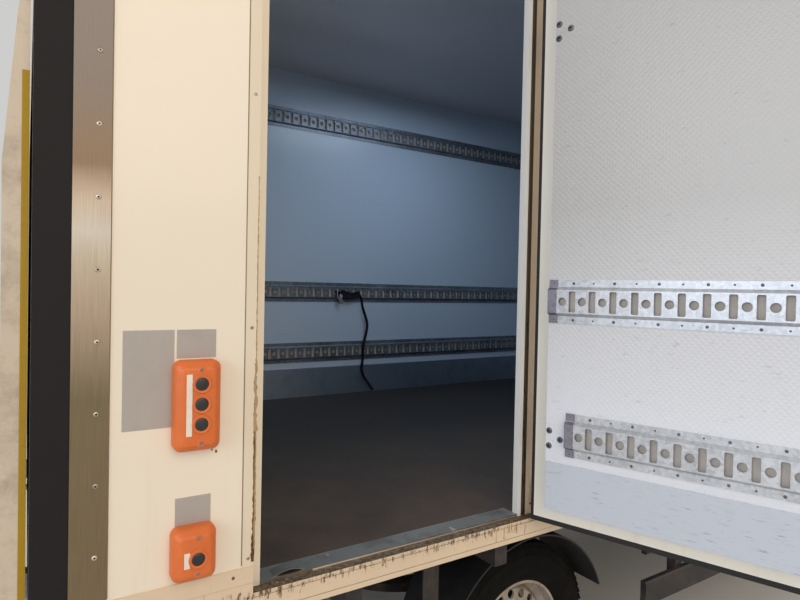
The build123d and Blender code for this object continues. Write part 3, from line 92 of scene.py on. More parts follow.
def add(tree, kind, inputs=None, stops=None, **settings):
    """Adds a node with its settings, its inputs and a ramp's stops.

    A node given as an input is linked by its first output in use."""
    made = tree.nodes.new(kind)
    for key, value in settings.items():
        setattr(made, key, value)
    for key, value in (inputs or {}).items():
        if isinstance(value, bpy.types.Node):
            value = next(socket for socket in value.outputs if socket.enabled)
        if isinstance(value, bpy.types.NodeSocket):
            tree.links.new(value, made.inputs[key])
        else:
            made.inputs[key].default_value = value
    if stops:
        ramp = made.color_ramp
        while len(ramp.elements) < len(stops):
            ramp.elements.new(0.5)
        for element, (place, code) in zip(ramp.elements, stops):
            element.position = place
            element.color = linear(code)
    return made


def start_material(name):
    """A material with an empty tree, and the object's own coordinates in it."""
    material = bpy.data.materials.new(name)
    material.use_nodes = True
    tree = material.node_tree
    tree.nodes.clear()
    return material, tree, add(tree, "ShaderNodeTexCoord").outputs["Object"]


def finish_material(material, inputs):
    """Closes a material's tree with a Principled shader that takes these inputs."""
    tree = material.node_tree
    shader = add(tree, "ShaderNodeBsdfPrincipled", inputs)
    add(tree, "ShaderNodeOutputMaterial", {"Surface": shader})
    return material


def cells(size_mm):
    """A texture's scale for features of this size."""
    return 1.0 / (size_mm * MM)


# Finishes: how each kind of surface is made

def gelcoat(name, colour, stain, low=0.9, high=1.5, stain_share=0.55, roughness=0.32, coat=0.25):
    """Glass-reinforced polyester with a sprayed gelcoat: soft gloss, faint waves, road film low down."""
    material, tree, place = start_material(name)
    cloud = add(tree, "ShaderNodeTexNoise", {"Vector": place, "Scale": cells(600), "Detail": 4.0})
    soft = add(tree, "ShaderNodeMath", {0: cloud, 1: 0.16}, operation="MULTIPLY")
    tint = add(tree, "ShaderNodeMix", {0: soft, 6: linear(colour), 7: linear(stain)}, data_type="RGBA")
    height = add(tree, "ShaderNodeSeparateXYZ", {0: place}).outputs["Z"]
    fade = add(tree, "ShaderNodeMapRange", {0: height, 1: low, 2: high, 3: 1.0, 4: 0.0})
    stretch = add(tree, "ShaderNodeMapping", {"Vector": place, "Scale": (1.0, 1.0, 0.09)})
    streak = add(tree, "ShaderNodeTexNoise", {"Vector": stretch, "Scale": cells(38), "Detail": 6.0,
                                               "Roughness": 0.62})
    drips = add(tree, "ShaderNodeMapRange", {0: streak, 1: 0.52, 2: 0.78, 3: 0.0, 4: 1.0})
    film = add(tree, "ShaderNodeMath", {0: drips, 1: fade}, operation="MULTIPLY")
    amount = add(tree, "ShaderNodeMath", {0: film, 1: stain_share}, operation="MULTIPLY")
    body = add(tree, "ShaderNodeMix", {0: amount, 6: tint, 7: linear(stain)}, data_type="RGBA")
    dull = add(tree, "ShaderNodeMapRange", {0: amount, 3: roughness, 4: 0.75})
    wave = add(tree, "ShaderNodeTexNoise", {"Vector": place, "Scale": cells(90), "Detail": 2.0})
    bump = add(tree, "ShaderNodeBump", {"Height": wave, "Distance": 0.6 * MM, "Strength": 0.25})
    return finish_material(material, {"Base Color": body, "Roughness": dull, "Normal": bump,
                                      "Coat Weight": coat, "Coat Roughness": 0.12})


# A wave texture of scale 1 draws this many bands to a metre.
WAVE_BANDS = 20 / math.tau
# The glass weave's repeat in mm. It is drawn coarser than the real one, so that it shows in the picture.
WEAVE_MM = 11.84


def lining(name, colour, scuff, angle=45.0, roughness=0.28, coat=0.35, scuff_share=0.6, mark_mm=26.0,
           run=0.12, threshold=0.62, weave_depth=0.35, painted_top_colour=None, swing=0.0):
    """Hygienic interior panel: pressed glass weave under a glossy resin, with rubbed marks from loads.

    painted_top_colour is a colour it fades to from 1.3 to 1.9 m up, a painted shade above a paler painted
    reflection below; swing turns its pattern about Z with an open door."""
    material, tree, place = start_material(name)
    if swing:
        place = add(tree, "ShaderNodeMapping", {"Vector": place, "Rotation": (0.0, 0.0, -swing)})
    turned = add(tree, "ShaderNodeMapping", {"Vector": place, "Rotation": (0.0, math.radians(angle), 0.0)})
    threads = {"Vector": turned, "Scale": cells(WEAVE_MM) / WAVE_BANDS, "Distortion": 0.6, "Detail": 1.0}
    weave, cross = (add(tree, "ShaderNodeTexWave", threads, bands_direction=axis) for axis in "XZ")
    cloth = add(tree, "ShaderNodeMath", {0: weave.outputs["Fac"], 1: cross.outputs["Fac"]},
                operation="MULTIPLY")
    bump = add(tree, "ShaderNodeBump", {"Height": cloth, "Distance": 0.35 * MM, "Strength": weave_depth})
    level = add(tree, "ShaderNodeMapping", {"Vector": place, "Scale": (run, run, 1.0)})
    rub = add(tree, "ShaderNodeTexNoise", {"Vector": level, "Scale": cells(mark_mm), "Detail": 8.0,
                                            "Roughness": 0.7})
    marks = add(tree, "ShaderNodeMapRange", {0: rub, 1: threshold, 2: 0.82, 3: 0.0, 4: scuff_share})
    ground = linear(colour)
    # Where a top colour is given, the panel fades to it from 1.3 to 1.9 m up: painted shade above, with the
    # paler colour below standing for a painted reflection.
    if painted_top_colour:
        height = add(tree, "ShaderNodeSeparateXYZ", {0: place}).outputs["Z"]
        climb = add(tree, "ShaderNodeMapRange", {0: height, 1: 1.3, 2: 1.9})
        ground = add(tree, "ShaderNodeMix", {0: climb, 6: ground, 7: linear(painted_top_colour)}, data_type="RGBA")
    colours = add(tree, "ShaderNodeMix", {0: marks, 6: ground, 7: linear(scuff)}, data_type="RGBA")
    gloss = add(tree, "ShaderNodeMapRange", {0: marks, 3: roughness, 4: roughness + 0.22})
    return finish_material(material, {"Base Color": colours, "Roughness": gloss, "Normal": bump,
                                      "Coat Weight": coat, "Coat Roughness": 0.15})


def galvanised(name, dark, light, roughness=0.34, metallic=0.8):
    """Zinc on pressed steel: faint angular spangles, a soft dull bloom and a bright even sheen."""
    material, tree, place = start_material(name)
    spangle = add(tree, "ShaderNodeTexVoronoi", {"Vector": place, "Scale": cells(9)})
    grey = add(tree, "ShaderNodeSeparateColor", {0: spangle.outputs["Color"]})
    bloom = add(tree, "ShaderNodeTexNoise", {"Vector": place, "Scale": cells(160), "Detail": 5.0})
    blend = add(tree, "ShaderNodeMix", {0: 0.3, 2: bloom, 3: grey})
    tone = add(tree, "ShaderNodeValToRGB", {0: blend}, stops=((0.25, dark), (0.7, light)))
    gloss = add(tree, "ShaderNodeMapRange", {0: blend, 3: roughness - 0.05, 4: roughness + 0.1})
    return finish_material(material, {"Base Color": tone, "Roughness": gloss, "Metallic": metallic})


def brushed(name, colour, along, roughness, stain="#8A7C6C", stain_share=0.25):
    """Brushed stainless or aluminium sheet: hair-fine grain along one axis that softens what it mirrors."""
    scale = {"X": (0.02, 1.0, 1.0), "Y": (1.0, 0.02, 1.0), "Z": (1.0, 1.0, 0.02)}[along]
    material, tree, place = start_material(name)
    hairs = add(tree, "ShaderNodeMapping", {"Vector": place, "Scale": scale})
    grain = add(tree, "ShaderNodeTexNoise", {"Vector": hairs, "Scale": cells(0.9), "Detail": 2.0})
    gloss = add(tree, "ShaderNodeMapRange", {0: grain, 1: 0.3, 2: 0.7, 3: roughness - 0.04,
                                              4: roughness + 0.06})
    bump = add(tree, "ShaderNodeBump", {"Height": grain, "Distance": 0.01 * MM, "Strength": 0.3})
    mark = add(tree, "ShaderNodeTexNoise", {"Vector": place, "Scale": cells(110), "Detail": 7.0,
                                             "Roughness": 0.65})
    share = add(tree, "ShaderNodeMapRange", {0: mark, 1: 0.5, 2: 0.8, 3: 0.0, 4: stain_share})
    colours = add(tree, "ShaderNodeMix", {0: share, 6: linear(colour), 7: linear(stain)}, data_type="RGBA")
    return finish_material(material, {"Base Color": colours, "Roughness": gloss, "Normal": bump,
                                      "Metallic": 1.0})


def post_with_painted_reflection(name, tones, roughness=0.34):
    """Brushed stainless upright: hair-fine grain along Z, in tones from foot to top: road film low down,
    above it a painted reflection.
    """
    material, tree, place = start_material(name)
    hairs = add(tree, "ShaderNodeMapping", {"Vector": place, "Scale": (1.0, 1.0, 0.012)})
    grain = add(tree, "ShaderNodeTexNoise", {"Vector": hairs, "Scale": cells(1.1), "Detail": 3.0})
    height = add(tree, "ShaderNodeSeparateXYZ", {0: place}).outputs["Z"]
    cloud = add(tree, "ShaderNodeTexNoise", {"Vector": place, "Scale": cells(140), "Detail": 5.0,
                                              "Roughness": 0.6})
    drift = add(tree, "ShaderNodeMath", {0: cloud, 1: 0.03, 2: height}, operation="MULTIPLY_ADD")
    span = add(tree, "ShaderNodeMapRange", {0: drift, 1: 0.88, 2: 3.13})
    # The tones by height paint a reflection: pale bands and darker ones such as the post would mirror.
    tone = add(tree, "ShaderNodeValToRGB", {0: span}, stops=tones)
    hair = add(tree, "ShaderNodeMapRange", {0: grain, 1: 0.3, 2: 0.7, 3: 0.86, 4: 1.1})
    shaded = add(tree, "ShaderNodeVectorMath", {0: tone, "Scale": hair}, operation="SCALE")
    gloss = add(tree, "ShaderNodeMapRange", {0: grain, 1: 0.3, 2: 0.7, 3: roughness - 0.05,
                                              4: roughness + 0.08})
    bump = add(tree, "ShaderNodeBump", {"Height": grain, "Distance": 0.01 * MM, "Strength": 0.25})
    return finish_material(material, {"Base Color": shaded, "Roughness": gloss, "Normal": bump,
                                      "Metallic": 0.85})


def grimed(name, colour, dirt, edge=None, reach=20.0, low=0.9, high=1.7, base=0.2, axis=0, run=0.3,
           speck_mm=7.0):
    """Painted section with old dirt: brown specks and runs, thicker lower down.

    Where edge is given, they gather within reach in mm of that place on the axis."""
    material, tree, place = start_material(name)
    apart = add(tree, "ShaderNodeSeparateXYZ", {0: place})
    near = add(tree, "ShaderNodeMapRange", {0: apart.outputs["Z"], 1: low, 2: high, 3: 1.0, 4: 0.15})
    stretch = add(tree, "ShaderNodeMapping", {"Vector": place, "Scale": (1.0, 1.0, run)})
    speck = add(tree, "ShaderNodeTexNoise", {"Vector": stretch, "Scale": cells(speck_mm), "Detail": 8.0,
                                              "Roughness": 0.72})
    if edge is not None:
        away = add(tree, "ShaderNodeMath", {0: apart.outputs[axis], 1: edge}, operation="SUBTRACT")
        span = add(tree, "ShaderNodeMath", {0: away}, operation="ABSOLUTE")
        close = add(tree, "ShaderNodeMapRange", {0: span, 1: 0.0, 2: reach * MM, 3: 1.0, 4: 0.0})
        near = add(tree, "ShaderNodeMath", {0: close, 1: near}, operation="MULTIPLY")
    share = add(tree, "ShaderNodeMath", {0: near, 1: base}, operation="ADD")
    start = add(tree, "ShaderNodeMath", {0: share, 1: -0.42, 2: 0.78}, operation="MULTIPLY_ADD")
    end = add(tree, "ShaderNodeMath", {0: start, 1: 0.1}, operation="ADD")
    mask = add(tree, "ShaderNodeMapRange", {0: speck, 1: start, 2: end})
    cloud = add(tree, "ShaderNodeTexNoise", {"Vector": stretch, "Scale": cells(60), "Detail": 4.0})
    film = add(tree, "ShaderNodeMath", {0: cloud, 1: share}, operation="MULTIPLY")
    both = add(tree, "ShaderNodeMath", {0: film, 1: 0.35, 2: mask}, operation="MULTIPLY_ADD", use_clamp=True)
    colours = add(tree, "ShaderNodeMix", {0: both, 6: linear(colour), 7: linear(dirt)}, data_type="RGBA")
    dull = add(tree, "ShaderNodeMapRange", {0: both, 3: 0.42, 4: 0.85})
    bump = add(tree, "ShaderNodeBump", {"Height": both, "Distance": 0.5 * MM, "Strength": 0.35})
    return finish_material(material, {"Base Color": colours, "Roughness": dull, "Normal": bump})


def moulded(name, colour, wear, roughness=0.45, grain_mm=1.2, depth_mm=0.12, wear_share=0.3, shine=0.5):
    """Moulded plastic or rubber: fine grained skin, paler where it has chalked."""
    material, tree, place = start_material(name)
    grain = add(tree, "ShaderNodeTexNoise", {"Vector": place, "Scale": cells(grain_mm), "Detail": 2.0})
    bump = add(tree, "ShaderNodeBump", {"Height": grain, "Distance": depth_mm * MM, "Strength": 0.5})
    chalk = add(tree, "ShaderNodeTexNoise", {"Vector": place, "Scale": cells(70), "Detail": 6.0,
                                              "Roughness": 0.7})
    share = add(tree, "ShaderNodeMapRange", {0: chalk, 1: 0.45, 2: 0.8, 3: 0.0, 4: wear_share})
    colours = add(tree, "ShaderNodeMix", {0: share, 6: linear(colour), 7: linear(wear)}, data_type="RGBA")
    gloss = add(tree, "ShaderNodeMapRange", {0: share, 3: roughness, 4: min(0.95, roughness + 0.3)})
    return finish_material(material, {"Base Color": colours, "Roughness": gloss, "Normal": bump,
                                      "Specular IOR Level": shine})


def trodden_floor(name, colour, dust, speck, roughness=0.62):
    """Anti-slip resin floor: dark and gritty, with brown dust walked in from the doorway and pale crumbs."""
    material, tree, place = start_material(name)
    across = add(tree, "ShaderNodeSeparateXYZ", {0: place}).outputs["Y"]
    cloud = add(tree, "ShaderNodeTexNoise", {"Vector": place, "Scale": cells(260), "Detail": 8.0,
                                              "Roughness": 0.65})
    near = add(tree, "ShaderNodeMapRange", {0: across, 1: -1.12, 2: 0.1, 3: 0.85, 4: 0.12})
    share = add(tree, "ShaderNodeMath", {0: near, 1: cloud}, operation="MULTIPLY")
    trail = add(tree, "ShaderNodeMapRange", {0: share, 1: 0.05, 2: 0.5, 3: 0.0, 4: 1.0})
    dusty = add(tree, "ShaderNodeMix", {0: trail, 6: linear(colour), 7: linear(dust)}, data_type="RGBA")
    crumbs = add(tree, "ShaderNodeTexNoise", {"Vector": place, "Scale": cells(34), "Detail": 6.0,
                                               "Roughness": 0.75})
    spots = add(tree, "ShaderNodeMapRange", {0: crumbs, 1: 0.7, 2: 0.76, 3: 0.0, 4: 0.7})
    spotted = add(tree, "ShaderNodeMix", {0: spots, 6: dusty, 7: linear(speck)}, data_type="RGBA")
    grit = add(tree, "ShaderNodeTexNoise", {"Vector": place, "Scale": cells(5), "Detail": 3.0})
    bump = add(tree, "ShaderNodeBump", {"Height": grit, "Distance": 0.8 * MM, "Strength": 0.6})
    return finish_material(material, {"Base Color": spotted, "Roughness": roughness, "Normal": bump,
                                      "Specular IOR Level": 0.35})


def glazing(name, tint, transmission=1.0, roughness=0.02):
    """Clear float glass or polycarbonate with a faint tint."""
    return finish_material(start_material(name)[0], {
        "Base Color": linear(tint), "Roughness": roughness, "Transmission Weight": transmission, "IOR": 1.45})


# Geometry Nodes: what repeats

def start_geometry(name, sizes):
    """A Geometry Nodes tree with named inputs and one geometry output."""
    tree = bpy.data.node_groups.new(name, "GeometryNodeTree")
    tree.interface.new_socket(name="Geometry", in_out="OUTPUT", socket_type="NodeSocketGeometry")
    for size, kind in sizes:
        tree.interface.new_socket(name=size, in_out="INPUT", socket_type="NodeSocket" + kind)
    inputs = add(tree, "NodeGroupInput")
    return tree, {size: inputs.outputs[size] for size, kind in sizes}


def end_geometry(tree, geometry, material):
    """Realises the instances, sets their material and closes the tree."""
    real = add(tree, "GeometryNodeRealizeInstances", {0: geometry})
    merged = add(tree, "GeometryNodeMergeByDistance", {0: real, "Distance": 0.05 * MM})
    dressed = add(tree, "GeometryNodeSetMaterial", {0: merged, "Material": material})
    add(tree, "NodeGroupOutput", {0: dressed})
    return tree


def grow(tree, values):
    """The plain mesh that a tree makes from these sizes."""
    seed = bpy.data.objects.new("seed", bpy.data.meshes.new("seed"))
    bpy.context.scene.collection.objects.link(seed)
    modifier = seed.modifiers.new("grow", "NODES")
    modifier.node_group = tree
    for item in tree.interface.items_tree:
        if item.in_out == "INPUT":
            modifier[item.identifier] = values[item.name]
    seed.update_tag()
    evaluated = seed.evaluated_get(bpy.context.evaluated_depsgraph_get())
    mesh = bpy.data.meshes.new_from_object(evaluated)
    seed.modifiers.remove(modifier)
    bpy.data.objects.remove(seed)
    return mesh


def dome_row_tree(material):
    """Low dome heads in a straight row; the head's height runs along Y."""
    tree, size = start_geometry("dome_row", (
        ("Count", "Int"), ("Start", "Vector"), ("Step", "Vector"), ("Head Radius", "Float"),
        ("Head Height", "Float")))
    ball = add(tree, "GeometryNodeMeshUVSphere", {"Segments": 12, "Rings": 8, "Radius": 1.0})
    shape = add(tree, "ShaderNodeCombineXYZ", {0: size["Head Radius"], 1: size["Head Height"],
                                                2: size["Head Radius"]})
    head = add(tree, "GeometryNodeTransform", {0: ball, "Scale": shape})
    line = add(tree, "GeometryNodeMeshLine", {"Count": size["Count"], "Start Location": size["Start"],
                                               "Offset": size["Step"]}, mode="OFFSET")
    row = add(tree, "GeometryNodeInstanceOnPoints", {"Points": line, "Instance": head})
    return end_geometry(tree, row, material)


def pierced_face_tree(material):
    """A load rail's face along X: in each pitch one upright slot and one round hole through the sheet."""
    tree, size = start_geometry("pierced_face", (
        ("Cells", "Int"), ("Pitch", "Float"), ("Face Height", "Float"), ("Slot Width", "Float"),
        ("Slot Height", "Float"), ("Hole Radius", "Float"), ("Sheet", "Float")))
    plate = add(tree, "GeometryNodeCurvePrimitiveQuadrilateral", {"Width": size["Pitch"],
                                                                   "Height": size["Face Height"]})
    slot = add(tree, "GeometryNodeCurvePrimitiveQuadrilateral", {"Width": size["Slot Width"],
                                                                  "Height": size["Slot Height"]})
    corner = add(tree, "ShaderNodeMath", {0: size["Slot Width"], 1: 0.2}, operation="MULTIPLY")
    rounded = add(tree, "GeometryNodeFilletCurve", {0: slot, "Count": 3, "Radius": corner}, mode="POLY")
    back = add(tree, "ShaderNodeMath", {0: size["Pitch"], 1: -0.25}, operation="MULTIPLY")
    aside = add(tree, "ShaderNodeMath", {0: size["Pitch"], 1: 0.25}, operation="MULTIPLY")
    slot_place = add(tree, "ShaderNodeCombineXYZ", {0: back})
    hole_place = add(tree, "ShaderNodeCombineXYZ", {0: aside})
    slot_moved = add(tree, "GeometryNodeTransform", {0: rounded, "Translation": slot_place})
    ring = add(tree, "GeometryNodeCurvePrimitiveCircle", {"Resolution": 16, "Radius": size["Hole Radius"]})
    ring_moved = add(tree, "GeometryNodeTransform", {0: ring, "Translation": hole_place})
    outline = add(tree, "GeometryNodeJoinGeometry")
    for part in (plate, slot_moved, ring_moved):
        tree.links.new(part.outputs[0], outline.inputs[0])
    face = add(tree, "GeometryNodeFillCurve", {0: outline})
    solid = add(tree, "GeometryNodeExtrudeMesh", {0: face, "Offset Scale": size["Sheet"],
                                                   "Individual": False})
    under = add(tree, "GeometryNodeFlipFaces", {0: face})
    both = add(tree, "GeometryNodeJoinGeometry")
    for part in (solid, under):
        tree.links.new(part.outputs[0], both.inputs[0])
    step = add(tree, "ShaderNodeCombineXYZ", {0: size["Pitch"]})
    line = add(tree, "GeometryNodeMeshLine", {"Count": size["Cells"], "Offset": step}, mode="OFFSET")
    row = add(tree, "GeometryNodeInstanceOnPoints", {"Points": line, "Instance": both})
    return end_geometry(tree, row, material)


# Mesh helpers

def finish_piece(name, mesh, body, material=None, smooth=None, nodes=()):
    """Links a mesh as a piece that rides on a body."""
    if material is not None:
        mesh.materials.clear()
        mesh.materials.append(material)
    if smooth is not None:
        mesh.shade_smooth()
        mesh.set_sharp_from_angle(angle=math.radians(smooth))
    piece = bpy.data.objects.new(name, mesh)
    bpy.context.scene.collection.objects.link(piece)
    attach(piece, body)
    if nodes:
        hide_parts(*nodes)
    return piece


def joined(name, meshes):
    """Several meshes as one, with their materials kept."""
    whole = bpy.data.meshes.new(name)
    build = bmesh.new()
    materials = []
    for mesh in meshes:
        slots = []
        for material in mesh.materials:
            if material not in materials:
                materials.append(material)
            slots.append(materials.index(material))
        first = len(build.faces)
        build.from_mesh(mesh)
        build.faces.ensure_lookup_table()
        for face in build.faces[first:]:
            face.material_index = slots[face.material_index] if slots else 0
    build.to_mesh(whole)
    build.free()
    for material in materials:
        whole.materials.append(material)
    return whole


def slab(low, high, bevel=0.0, steps=2, material=None):
    """A rectangular block between two corners, with softened edges."""
    mesh = bpy.data.meshes.new("slab")
    build = bmesh.new()
    bmesh.ops.create_cube(build, size=1.0)
    size = Vector(high) - Vector(low)
    bmesh.ops.scale(build, vec=size, verts=build.verts)
    bmesh.ops.translate(build, vec=(Vector(low) + Vector(high)) / 2, verts=build.verts)
    if bevel:
        bmesh.ops.bevel(build, geom=build.edges, offset=bevel, segments=steps, affect="EDGES", profile=0.5)
    build.to_mesh(mesh)
    build.free()
    if material:
        mesh.materials.append(material)
    return mesh


def outward(mesh):
    """Turns a mesh's faces so that they look outwards."""
    build = bmesh.new()
    build.from_mesh(mesh)
    bmesh.ops.recalc_face_normals(build, faces=build.faces)
    build.to_mesh(mesh)
    build.free()


def skinned(rings, material):
    """A closed skin through rings of as many points each, flat at both ends."""
    count = len(rings[0])
    last = count * (len(rings) - 1)
    faces = []
    for a in range(0, last, count):
        b = a + count
        faces += [(a + k, a + (k + 1) % count, b + (k + 1) % count, b + k) for k in range(count)]
    faces += [tuple(range(count)), tuple(range(last, last + count))]
    mesh = bpy.data.meshes.new("skinned")
    mesh.from_pydata([tuple(point) for ring in rings for point in ring], [], faces)
    mesh.materials.append(material)
    outward(mesh)
    return mesh


def ribbon(outline, start, end, material):
    """A closed outline in Y and Z, carried along X from start to end."""
    return skinned([[(x, y, z) for y, z in outline] for x in (start, end)], material)


def lathe(profile, steps, material, centre=(0.0, 0.0, 0.0), turn=None):
    """A profile of (radius, height) pairs turned about Y and closed at its ends."""
    mesh = bpy.data.meshes.new("lathe")
    build = bmesh.new()
    points = [build.verts.new((r, h, 0.0)) for r, h in profile]
    edges = [build.edges.new((points[i], points[i + 1])) for i in range(len(points) - 1)]
    bmesh.ops.spin(build, geom=points + edges, cent=(0, 0, 0), axis=(0, 1, 0), angle=math.tau, steps=steps)
    bmesh.ops.remove_doubles(build, verts=build.verts, dist=0.01 * MM)
    bmesh.ops.holes_fill(build, edges=build.edges, sides=0)
    bmesh.ops.recalc_face_normals(build, faces=build.faces)
    build.to_mesh(mesh)
    build.free()
    mesh.materials.append(material)
    if turn:
        mesh.transform(turn)
    mesh.transform(Matrix.Translation(centre))
    return mesh


def dressed(node, body, rules, smooth=30.0):
    """A CAD node's surface once more, each face in the finish of the first rule that it meets."""
    mesh = bpy.data.meshes.new("dressed_" + node)
    build = bmesh.new()
    build.from_mesh(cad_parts[node].data)
    bmesh.ops.remove_doubles(build, verts=build.verts, dist=0.01 * MM)
    build.verts.index_update()
    mesh.from_pydata([v.co[:] for v in build.verts], [],
                     [[v.index for v in face.verts] for face in build.faces])
    picks = [next(i for i, (test, finish) in enumerate(rules) if test(face.calc_center_median(), face.normal))
             for face in build.faces]
    build.free()
    mesh.polygons.foreach_set("material_index", picks)
    for test, finish in rules:
        mesh.materials.append(finish)
    return finish_piece("dressed_" + node, mesh, body, smooth=smooth, nodes=(node,))


def everywhere(centre, normal):
    """Every face that no rule before it has taken."""
    return True


OPEN_DOOR = (Matrix.Translation((HINGE[0], HINGE[1], 0.0)) @ Matrix.Rotation(OPEN_ANGLE, 4, "Z")
             @ Matrix.Translation((-HINGE[0], -HINGE[1], 0.0)))
SHUT_DOOR = OPEN_DOOR.inverted()


# Cream gelcoat of the box: warm, softly glossy, a faint road film low down.
SKIN = gelcoat("gelcoat_outer_panel", "#F0E7D6", "#A58C66", 0.9, 1.35, 0.22, 0.34)
# Flange round the doorway: cream enamel with small brown specks.
JAMB_FLANGE = grimed("enamel_doorway_flange", "#E3D7C1", "#5A4327", None, base=0.02, low=-3.0, high=-2.0)
# Latch jamb's inner strip: cream, with old dirt packed in its outer corner.
JAMB_STRIP = grimed("pvc_latch_jamb", "#E6DAC5", "#4A361E", -3.250, 9.0, 0.9, 1.6, 0.02, run=0.2)
# Hinge jamb's inner strip: clean pale grey plastic.
JAMB_WHITE = gelcoat("pvc_hinge_jamb", "#F0F1F0", "#8E8A80", 0.9, 1.4, 0.3, 0.4)
# Hinge jamb's groove: bare metal almost lost under brown grease.
JAMB_GROOVE = grimed("greasy_jamb_groove", "#5A4936", "#17110B", None, base=0.1, low=-1.0, high=3.2, run=0.12)
# Hinge jamb's outer strip: beige with brown runs along it.
JAMB_BEIGE = grimed("pvc_hinge_jamb_outer", "#DCC7AE", "#6A4E33", base=0.0, low=-1.4, high=2.8, run=0.04)
# Lower side rail: cream with brown runs under the lip and specks all over.
RAIL_PAINT = grimed("gelcoat_side_rail", "#DFCBB0", "#6A4F35", 0.906, 34.0, -2.0, 2.2, 0.3, axis=2, run=0.3,
                    speck_mm=10.0)
# The rail's ledge in the doorway: trodden brown dirt over cream.
LEDGE_DIRT = grimed("trodden_dirt_ledge", "#6F5E47", "#53422E", None, base=0.0, low=-1.0, high=6.0, run=1.0,
                    speck_mm=14.0)
# Sealant between panel and flange: old, brown-grey and dull.
SEALANT = moulded("butyl_sealant_aged", "#8F7D69", "#5F4E3C", 0.75, 4.0, 0.3, 0.6)
# Cab enamel: hard clear gloss with road film low down.
CAB_PAINT = gelcoat("enamel_cab_white", "#ECEAE4", "#6E6354", 0.35, 0.95, 0.4, 0.2, 0.6)
# Cooling unit's moulded shell: satin white.
UNIT_SHELL = gelcoat("grp_cooling_unit", "#E9E8E3", "#7B7468", 2.4, 2.9, 0.2, 0.35)
# Load space lining: resin over pressed weave, glossy enough to mirror light softly; its dim blue-grey is
# painted shade and cool painted light of the closed load space.
LINING = lining("grp_wall_lining", "#B9C9DA", "#77828B", 45.0, 0.32, 0.3)
# The side door's inner face: the same weave, paler; its blue-white low down is a painted reflection, fading
# to a grey painted shade above 1.3 m.
DOOR_LINING = lining("grp_door_lining", "#E4E9F2", "#8E8D89", 45.0, 0.28, 0.1, 0.7, 12.0, 0.35, 0.6, 1.0,
                     "#BCBDBD", OPEN_ANGLE)
# Ceiling lining: darker, with little to light it.
CEILING_LINING = lining("grp_ceiling_lining", "#CFCFD4", "#8F949A")
# Pale edge profile round the door's slab.
PROFILE_WHITE = gelcoat("pvc_edge_profile", "#EFEDE3", "#A89C88", 0.9, 1.4, 0.15, 0.4)
# Zinc on the rails and fittings: bright, even, a little blue.
ZINC = galvanised("zinc_coated_steel", "#B3B8BF", "#D5DAE0", 0.32, 0.5)
# Load rails on the far walls: the same zinc painted darker, greyer and bluer, as the shade of the load space.
ZINC_WALL = galvanised("zinc_wall_rail_painted_shade", "#5C646D", "#868E97", 0.38, 0.5)
# Behind the rails' slots: a thin sheet over the lining, greyer than it, as painted shade inside the slots.
SLOT_SHADE = moulded("lining_in_slots_painted_shade", "#BAB5AF", "#9A938B", 0.7, 3.0, 0.1, 0.6)
# Zinc on frames in the road spray: duller and darker.
ZINC_FRAME = galvanised("zinc_coated_frame", "#7B7F82", "#A9AEB0", 0.5)
# Rail end plates: dull violet-grey zinc.
ZINC_DARK = galvanised("zinc_rail_end", "#7F7D88", "#9A97A2", 0.48)
# The rear upright: brushed stainless, brown with road film low down; its pale bands at hand height and darker
# tones above are a painted reflection.
STAINLESS = post_with_painted_reflection("stainless_upright_painted_reflection", (
    (0.0, "#8C7A62"), (0.24, "#86795F"), (0.31, "#B5A18D"), (0.36, "#BEB19D"), (0.39, "#C2BDB4"),
    (0.42, "#B3A597"), (0.45, "#7A6957"), (0.53, "#6B6562"), (1.0, "#626061")))
# Extruded aluminium trims.
ALUMINIUM = brushed("aluminium_extruded", "#C9CAC9", "X", 0.36)
# Kick sheet in the load space: cool grey, scraped along its length.
TREAD_SHEET = brushed("aluminium_kick_sheet", "#A8B4C0", "X", 0.45, "#6D7883", 0.5)
# The door's kick sheet: pale blue-white coated sheet with dark scrapes along it.
DOOR_KICK = lining("coated_kick_sheet", "#C8D1DE", "#0C1016", 0.0, 0.36, 0.15, 1.0, 5.0, 0.12, 0.575, 0.1,
                   swing=OPEN_ANGLE)
# Sill sheet: bright at its edge, dull and stained where it is trodden.
BRIGHT_SILL = brushed("stainless_sill_sheet", "#A79F92", "X", 0.42, "#5A4C3C", 0.8)
# Platform deck: grey aluminium, worn in blotches.
DECK = brushed("aluminium_platform_deck", "#B4B7B9", "Z", 0.45, "#7A7772", 0.6)
# Door seals: black rubber with a dull skin.
RUBBER = moulded("epdm_rubber_black", "#161515", "#3A3633", 0.6)
# Rear doors' edge gasket: near-black, faintly brown.
EDGE_BLACK = moulded("rubber_door_edge", "#100D0F", "#241F20", 0.72, shine=0.4)
# Tyres: chalky black rubber.
TYRE = moulded("tyre_rubber", "#0F0E0D", "#2A241F", 0.86, 2.0, 0.3, 0.5, 0.15)
# Bumper, arches and mirrors: grained black polypropylene.
BLACK_PLASTIC = moulded("polypropylene_black", "#1C1C1E", "#47464A", 0.5)
# Dashboard: dark grained skin.
DASH = moulded("abs_dashboard", "#2A2B2E", "#45464A", 0.55)
# Lighter cab trim.
TRIM_GREY = moulded("abs_interior_trim", "#55575C", "#6B6D72", 0.6)
# Seats: dark woven cloth without gloss.
SEAT_CLOTH = moulded("seat_cloth", "#2B2D33", "#3F4249", 0.9, 2.2, 0.5, 0.4)
# Control boxes: orange ABS with a soft shine, greyed by hands.
ORANGE = moulded("abs_orange", "#DC7032", "#A2562A", 0.42, 0.8, 0.06, 0.3)
# Chassis enamel: black, rusty and dusty in patches.
CHASSIS = moulded("chassis_enamel_black", "#232326", "#5D4B3C", 0.5, 3.0, 0.1, 0.7)
# Wheels: silver enamel under brake dust and road dirt.
WHEEL_STEEL = moulded("wheel_silver_enamel", "#A79D90", "#5F4E3D", 0.42, 1.0, 0.05, 0.85)
